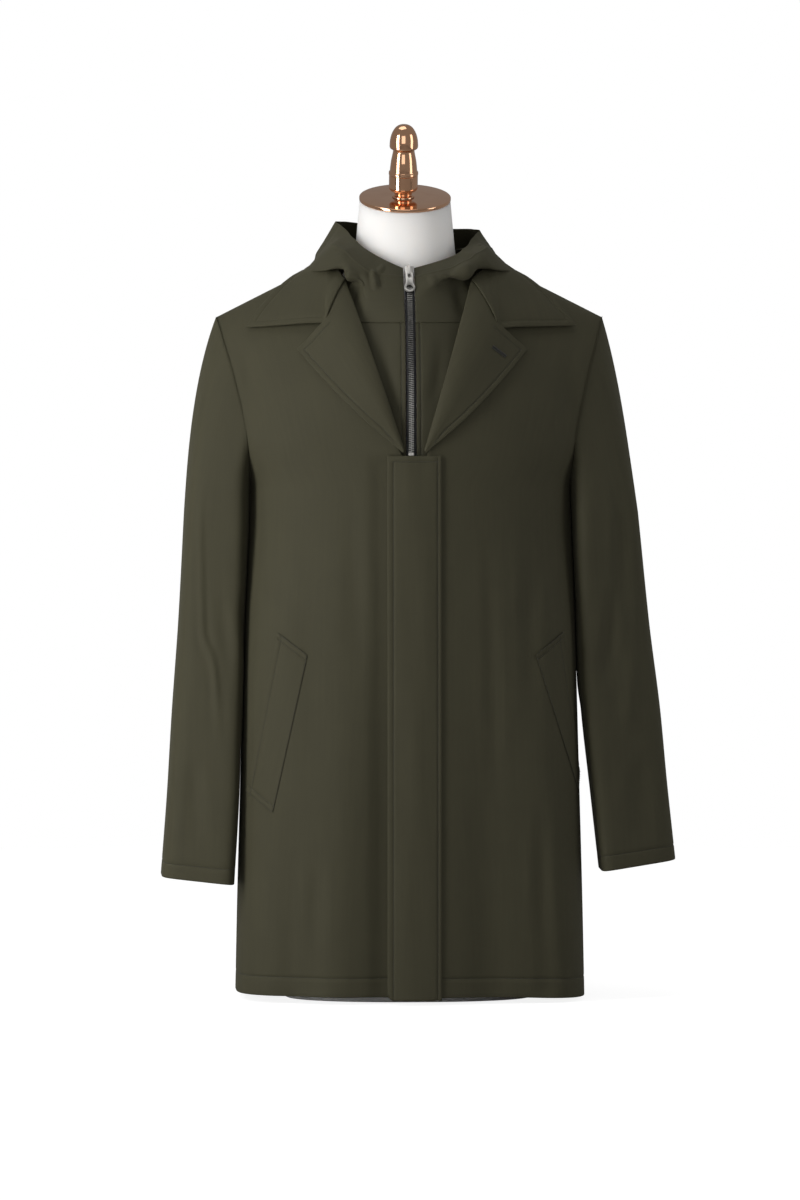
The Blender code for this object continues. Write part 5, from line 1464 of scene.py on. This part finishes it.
def makeForm(material):
    heights = np.concatenate([[0, 0.0015, 0.004, 0.008], np.linspace(0.02, 0.78, 60),
                              np.linspace(0.79, 0.874, 26)])
    rings = []
    for height in heights:
        plan = formRing(max(height, 0.0))
        foot = max(0, 1 - height / form["footRound"])
        plan = plan * (1 - form["footRound"] / form["halfWidth"][0] * (1 - math.sqrt(1 - foot ** 2)))
        blend = smoothStep((height - form["blend"]) / (form["neckBase"] - form["blend"]))
        plan = plan + (neckRing(0)[:, :2] - plan) * blend
        rings.append(np.column_stack([plan, np.full(form["sides"], height)]))
    rings += [neckRing(share) for share in np.linspace(0, 1, 20)]
    count = form["sides"]
    points = np.concatenate(rings)
    faces = []
    for level in range(len(rings) - 1):
        low = level * count
        faces += [(low + i, low + (i + 1) % count, low + count + (i + 1) % count, low + count + i)
                  for i in range(count)]
    faces.append(tuple(range(count))[::-1])
    faces.append(tuple(range(len(points) - count, len(points))))
    mesh = bpy.data.meshes.new("formBody")
    mesh.from_pydata(points.tolist(), [], faces)
    mesh.shade_smooth()
    mesh.set_sharp_from_angle(angle=math.radians(50))
    piece = plainObject("formBody", mesh, material)
    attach(piece, "coat")
    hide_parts("form_body")


def turnedPiece(name, node, profile, material, shift=0.0):
    neck = Matrix.Translation((form["neckX"] + shift, form["neckY"], form["neckTop"]))
    place = neck @ Matrix.Rotation(form["lean"], 4, "X")
    mesh = bpy.data.meshes.new(name)
    mesh.from_pydata([(r, 0, z) for r, z in profile], [(i, i + 1) for i in range(len(profile) - 1)], [])
    holder = bpy.data.objects.new(name + "Profile", mesh)
    bpy.context.scene.collection.objects.link(holder)
    screw = holder.modifiers.new("turned", "SCREW")
    screw.steps = screw.render_steps = 96
    screw.use_merge_vertices = True
    screw.merge_threshold = 0.00002
    bpy.context.view_layer.update()
    made = bpy.data.meshes.new_from_object(holder.evaluated_get(bpy.context.evaluated_depsgraph_get()))
    bpy.data.objects.remove(holder)
    shape = bmesh.new()
    shape.from_mesh(made)
    bmesh.ops.remove_doubles(shape, verts=shape.verts, dist=0.00002)
    bmesh.ops.recalc_face_normals(shape, faces=shape.faces)
    bmesh.ops.transform(shape, matrix=place, verts=shape.verts)
    shape.to_mesh(made)
    shape.free()
    made.name = name
    made.shade_smooth()
    made.set_sharp_from_angle(angle=math.radians(40))
    piece = plainObject(name, made, material)
    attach(piece, "coat")
    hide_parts(node)


def makeTop(material):
    low, high = coat["seamGap"], coat["seamGap"] + form["capThick"]
    radius, bevel = form["capRadius"], form["capRound"]
    quarter = [(bevel * math.sin(t), bevel * math.cos(t)) for t in np.linspace(0, math.pi / 2, 6)]
    rim = [(radius - bevel + s, high - bevel + c) for s, c in quarter]
    rim += [(radius - bevel + c, low + bevel - s) for s, c in quarter]
    turnedPiece("formCap", "form_cap", [(0, high), (radius * 0.5, high)] + rim + [(0, low)], material)
    points = np.array(form["finial"])
    along = np.concatenate([[0], np.cumsum(np.linalg.norm(np.diff(points, axis=0), axis=1))])
    wanted = np.unique(np.concatenate([along, np.linspace(0, along[-2], 150)]))
    radii, heights = [smoothCurve(along, points[:, k])(wanted) for k in (0, 1)]
    profile = [(max(0, r), high + h) for r, h in zip(radii, heights)]
    turnedPiece("formFinial", "form_finial", profile, material, form["finialShift"])


makeForm(jerseyMaterial())
makeTop(copperMaterial())
print("dress form, cap and finial")

# studio

studio = {
    "distance": 12.0, "azimuth": -2.5, "elevation": 2.5, "centre": (-0.0107, 0.0, 0.4703), "viewHeight": 1.4232,
    "skyCamera": 1.0, "skyLight": 0.25, "floorRadius": 2.6,
    "key": {"place": (-1.20, -0.86, 0.66), "wide": 0.5, "tall": 1.7, "power": 22},
    "fill": {"place": (1.7, -0.7, 0.95), "wide": 0.7, "tall": 1.4, "power": 6},
    "front": {"place": (-0.4, -4.0, 1.0), "wide": 2.2, "tall": 2.2, "power": 19},
    "top": {"place": (-0.5, -0.2, 4.0), "wide": 2.4, "tall": 2.4, "power": 28},
}


def aimAt(thing, target):
    direction = Vector(target) - thing.location
    thing.rotation_euler = direction.to_track_quat("-Z", "Y").to_euler()


def makeCamera():
    a, e = math.radians(studio["azimuth"]), math.radians(studio["elevation"])
    back = Vector((math.sin(a) * math.cos(e), -math.cos(a) * math.cos(e), math.sin(e)))
    data = bpy.data.cameras.new("camera")
    data.sensor_width = 36
    data.lens = 36 * studio["distance"] / studio["viewHeight"]
    data.clip_end = 200
    camera = bpy.data.objects.new("camera", data)
    bpy.context.scene.collection.objects.link(camera)
    camera.location = Vector(studio["centre"]) + back * studio["distance"]
    aimAt(camera, studio["centre"])
    bpy.context.scene.camera = camera


def makeLight(name):
    look = studio[name]
    data = bpy.data.lights.new(name, "AREA")
    data.shape = "RECTANGLE"
    data.size, data.size_y = look["wide"], look["tall"]
    data.energy = look["power"]
    light = bpy.data.objects.new(name, data)
    bpy.context.scene.collection.objects.link(light)
    light.location = look["place"]
    light.visible_camera = False
    aimAt(light, (0, 0, 0.55))


def makeWorld():
    world = bpy.data.worlds.new("studio")
    world.use_nodes = True
    tree = world.node_tree
    tree.nodes.clear()
    out = tree.nodes.new("ShaderNodeOutputWorld")
    seen, lit = tree.nodes.new("ShaderNodeBackground"), tree.nodes.new("ShaderNodeBackground")
    seen.inputs["Strength"].default_value = studio["skyCamera"]
    seen.inputs["Color"].default_value = (1, 1, 1, 1)
    lit.inputs["Strength"].default_value = studio["skyLight"]
    lit.inputs["Color"].default_value = (1, 1, 1, 1)
    path = tree.nodes.new("ShaderNodeLightPath")
    mix = tree.nodes.new("ShaderNodeMixShader")
    tree.links.new(path.outputs["Is Camera Ray"], mix.inputs[0])
    tree.links.new(lit.outputs[0], mix.inputs[1])
    tree.links.new(seen.outputs[0], mix.inputs[2])
    tree.links.new(mix.outputs[0], out.inputs[0])
    bpy.context.scene.world = world


def makeFloor():  # a pale disc that runs out into the white backdrop
    shape = bmesh.new()
    bmesh.ops.create_circle(shape, cap_ends=True, segments=96, radius=studio["floorRadius"])
    mesh = bpy.data.meshes.new("floor")
    shape.to_mesh(mesh)
    shape.free()
    material, tree, shader = newMaterial("paleFloor", Roughness=0.9, Specular_IOR_Level=0.1)
    shader.inputs["Base Color"].default_value = (0.40, 0.40, 0.40, 1)
    glow = addNode(tree, "ShaderNodeEmission", Strength=0.86)
    path = tree.nodes.new("ShaderNodeLightPath")
    plain = tree.nodes.new("ShaderNodeAddShader")
    mix = tree.nodes.new("ShaderNodeMixShader")
    tree.links.new(shader.outputs[0], plain.inputs[0])
    tree.links.new(glow.outputs[0], plain.inputs[1])
    tree.links.new(path.outputs["Is Camera Ray"], mix.inputs[0])
    tree.links.new(shader.outputs[0], mix.inputs[1])
    tree.links.new(plain.outputs[0], mix.inputs[2])
    tree.links.new(mix.outputs[0], tree.nodes["Material Output"].inputs[0])
    floor = plainObject("floor", mesh, material)


makeCamera()
makeWorld()
makeFloor()
for name in ("key", "fill", "front", "top"):
    makeLight(name)
bpy.context.scene.view_settings.view_transform = "Standard"
bpy.context.scene.view_settings.look = "None"
print("studio")
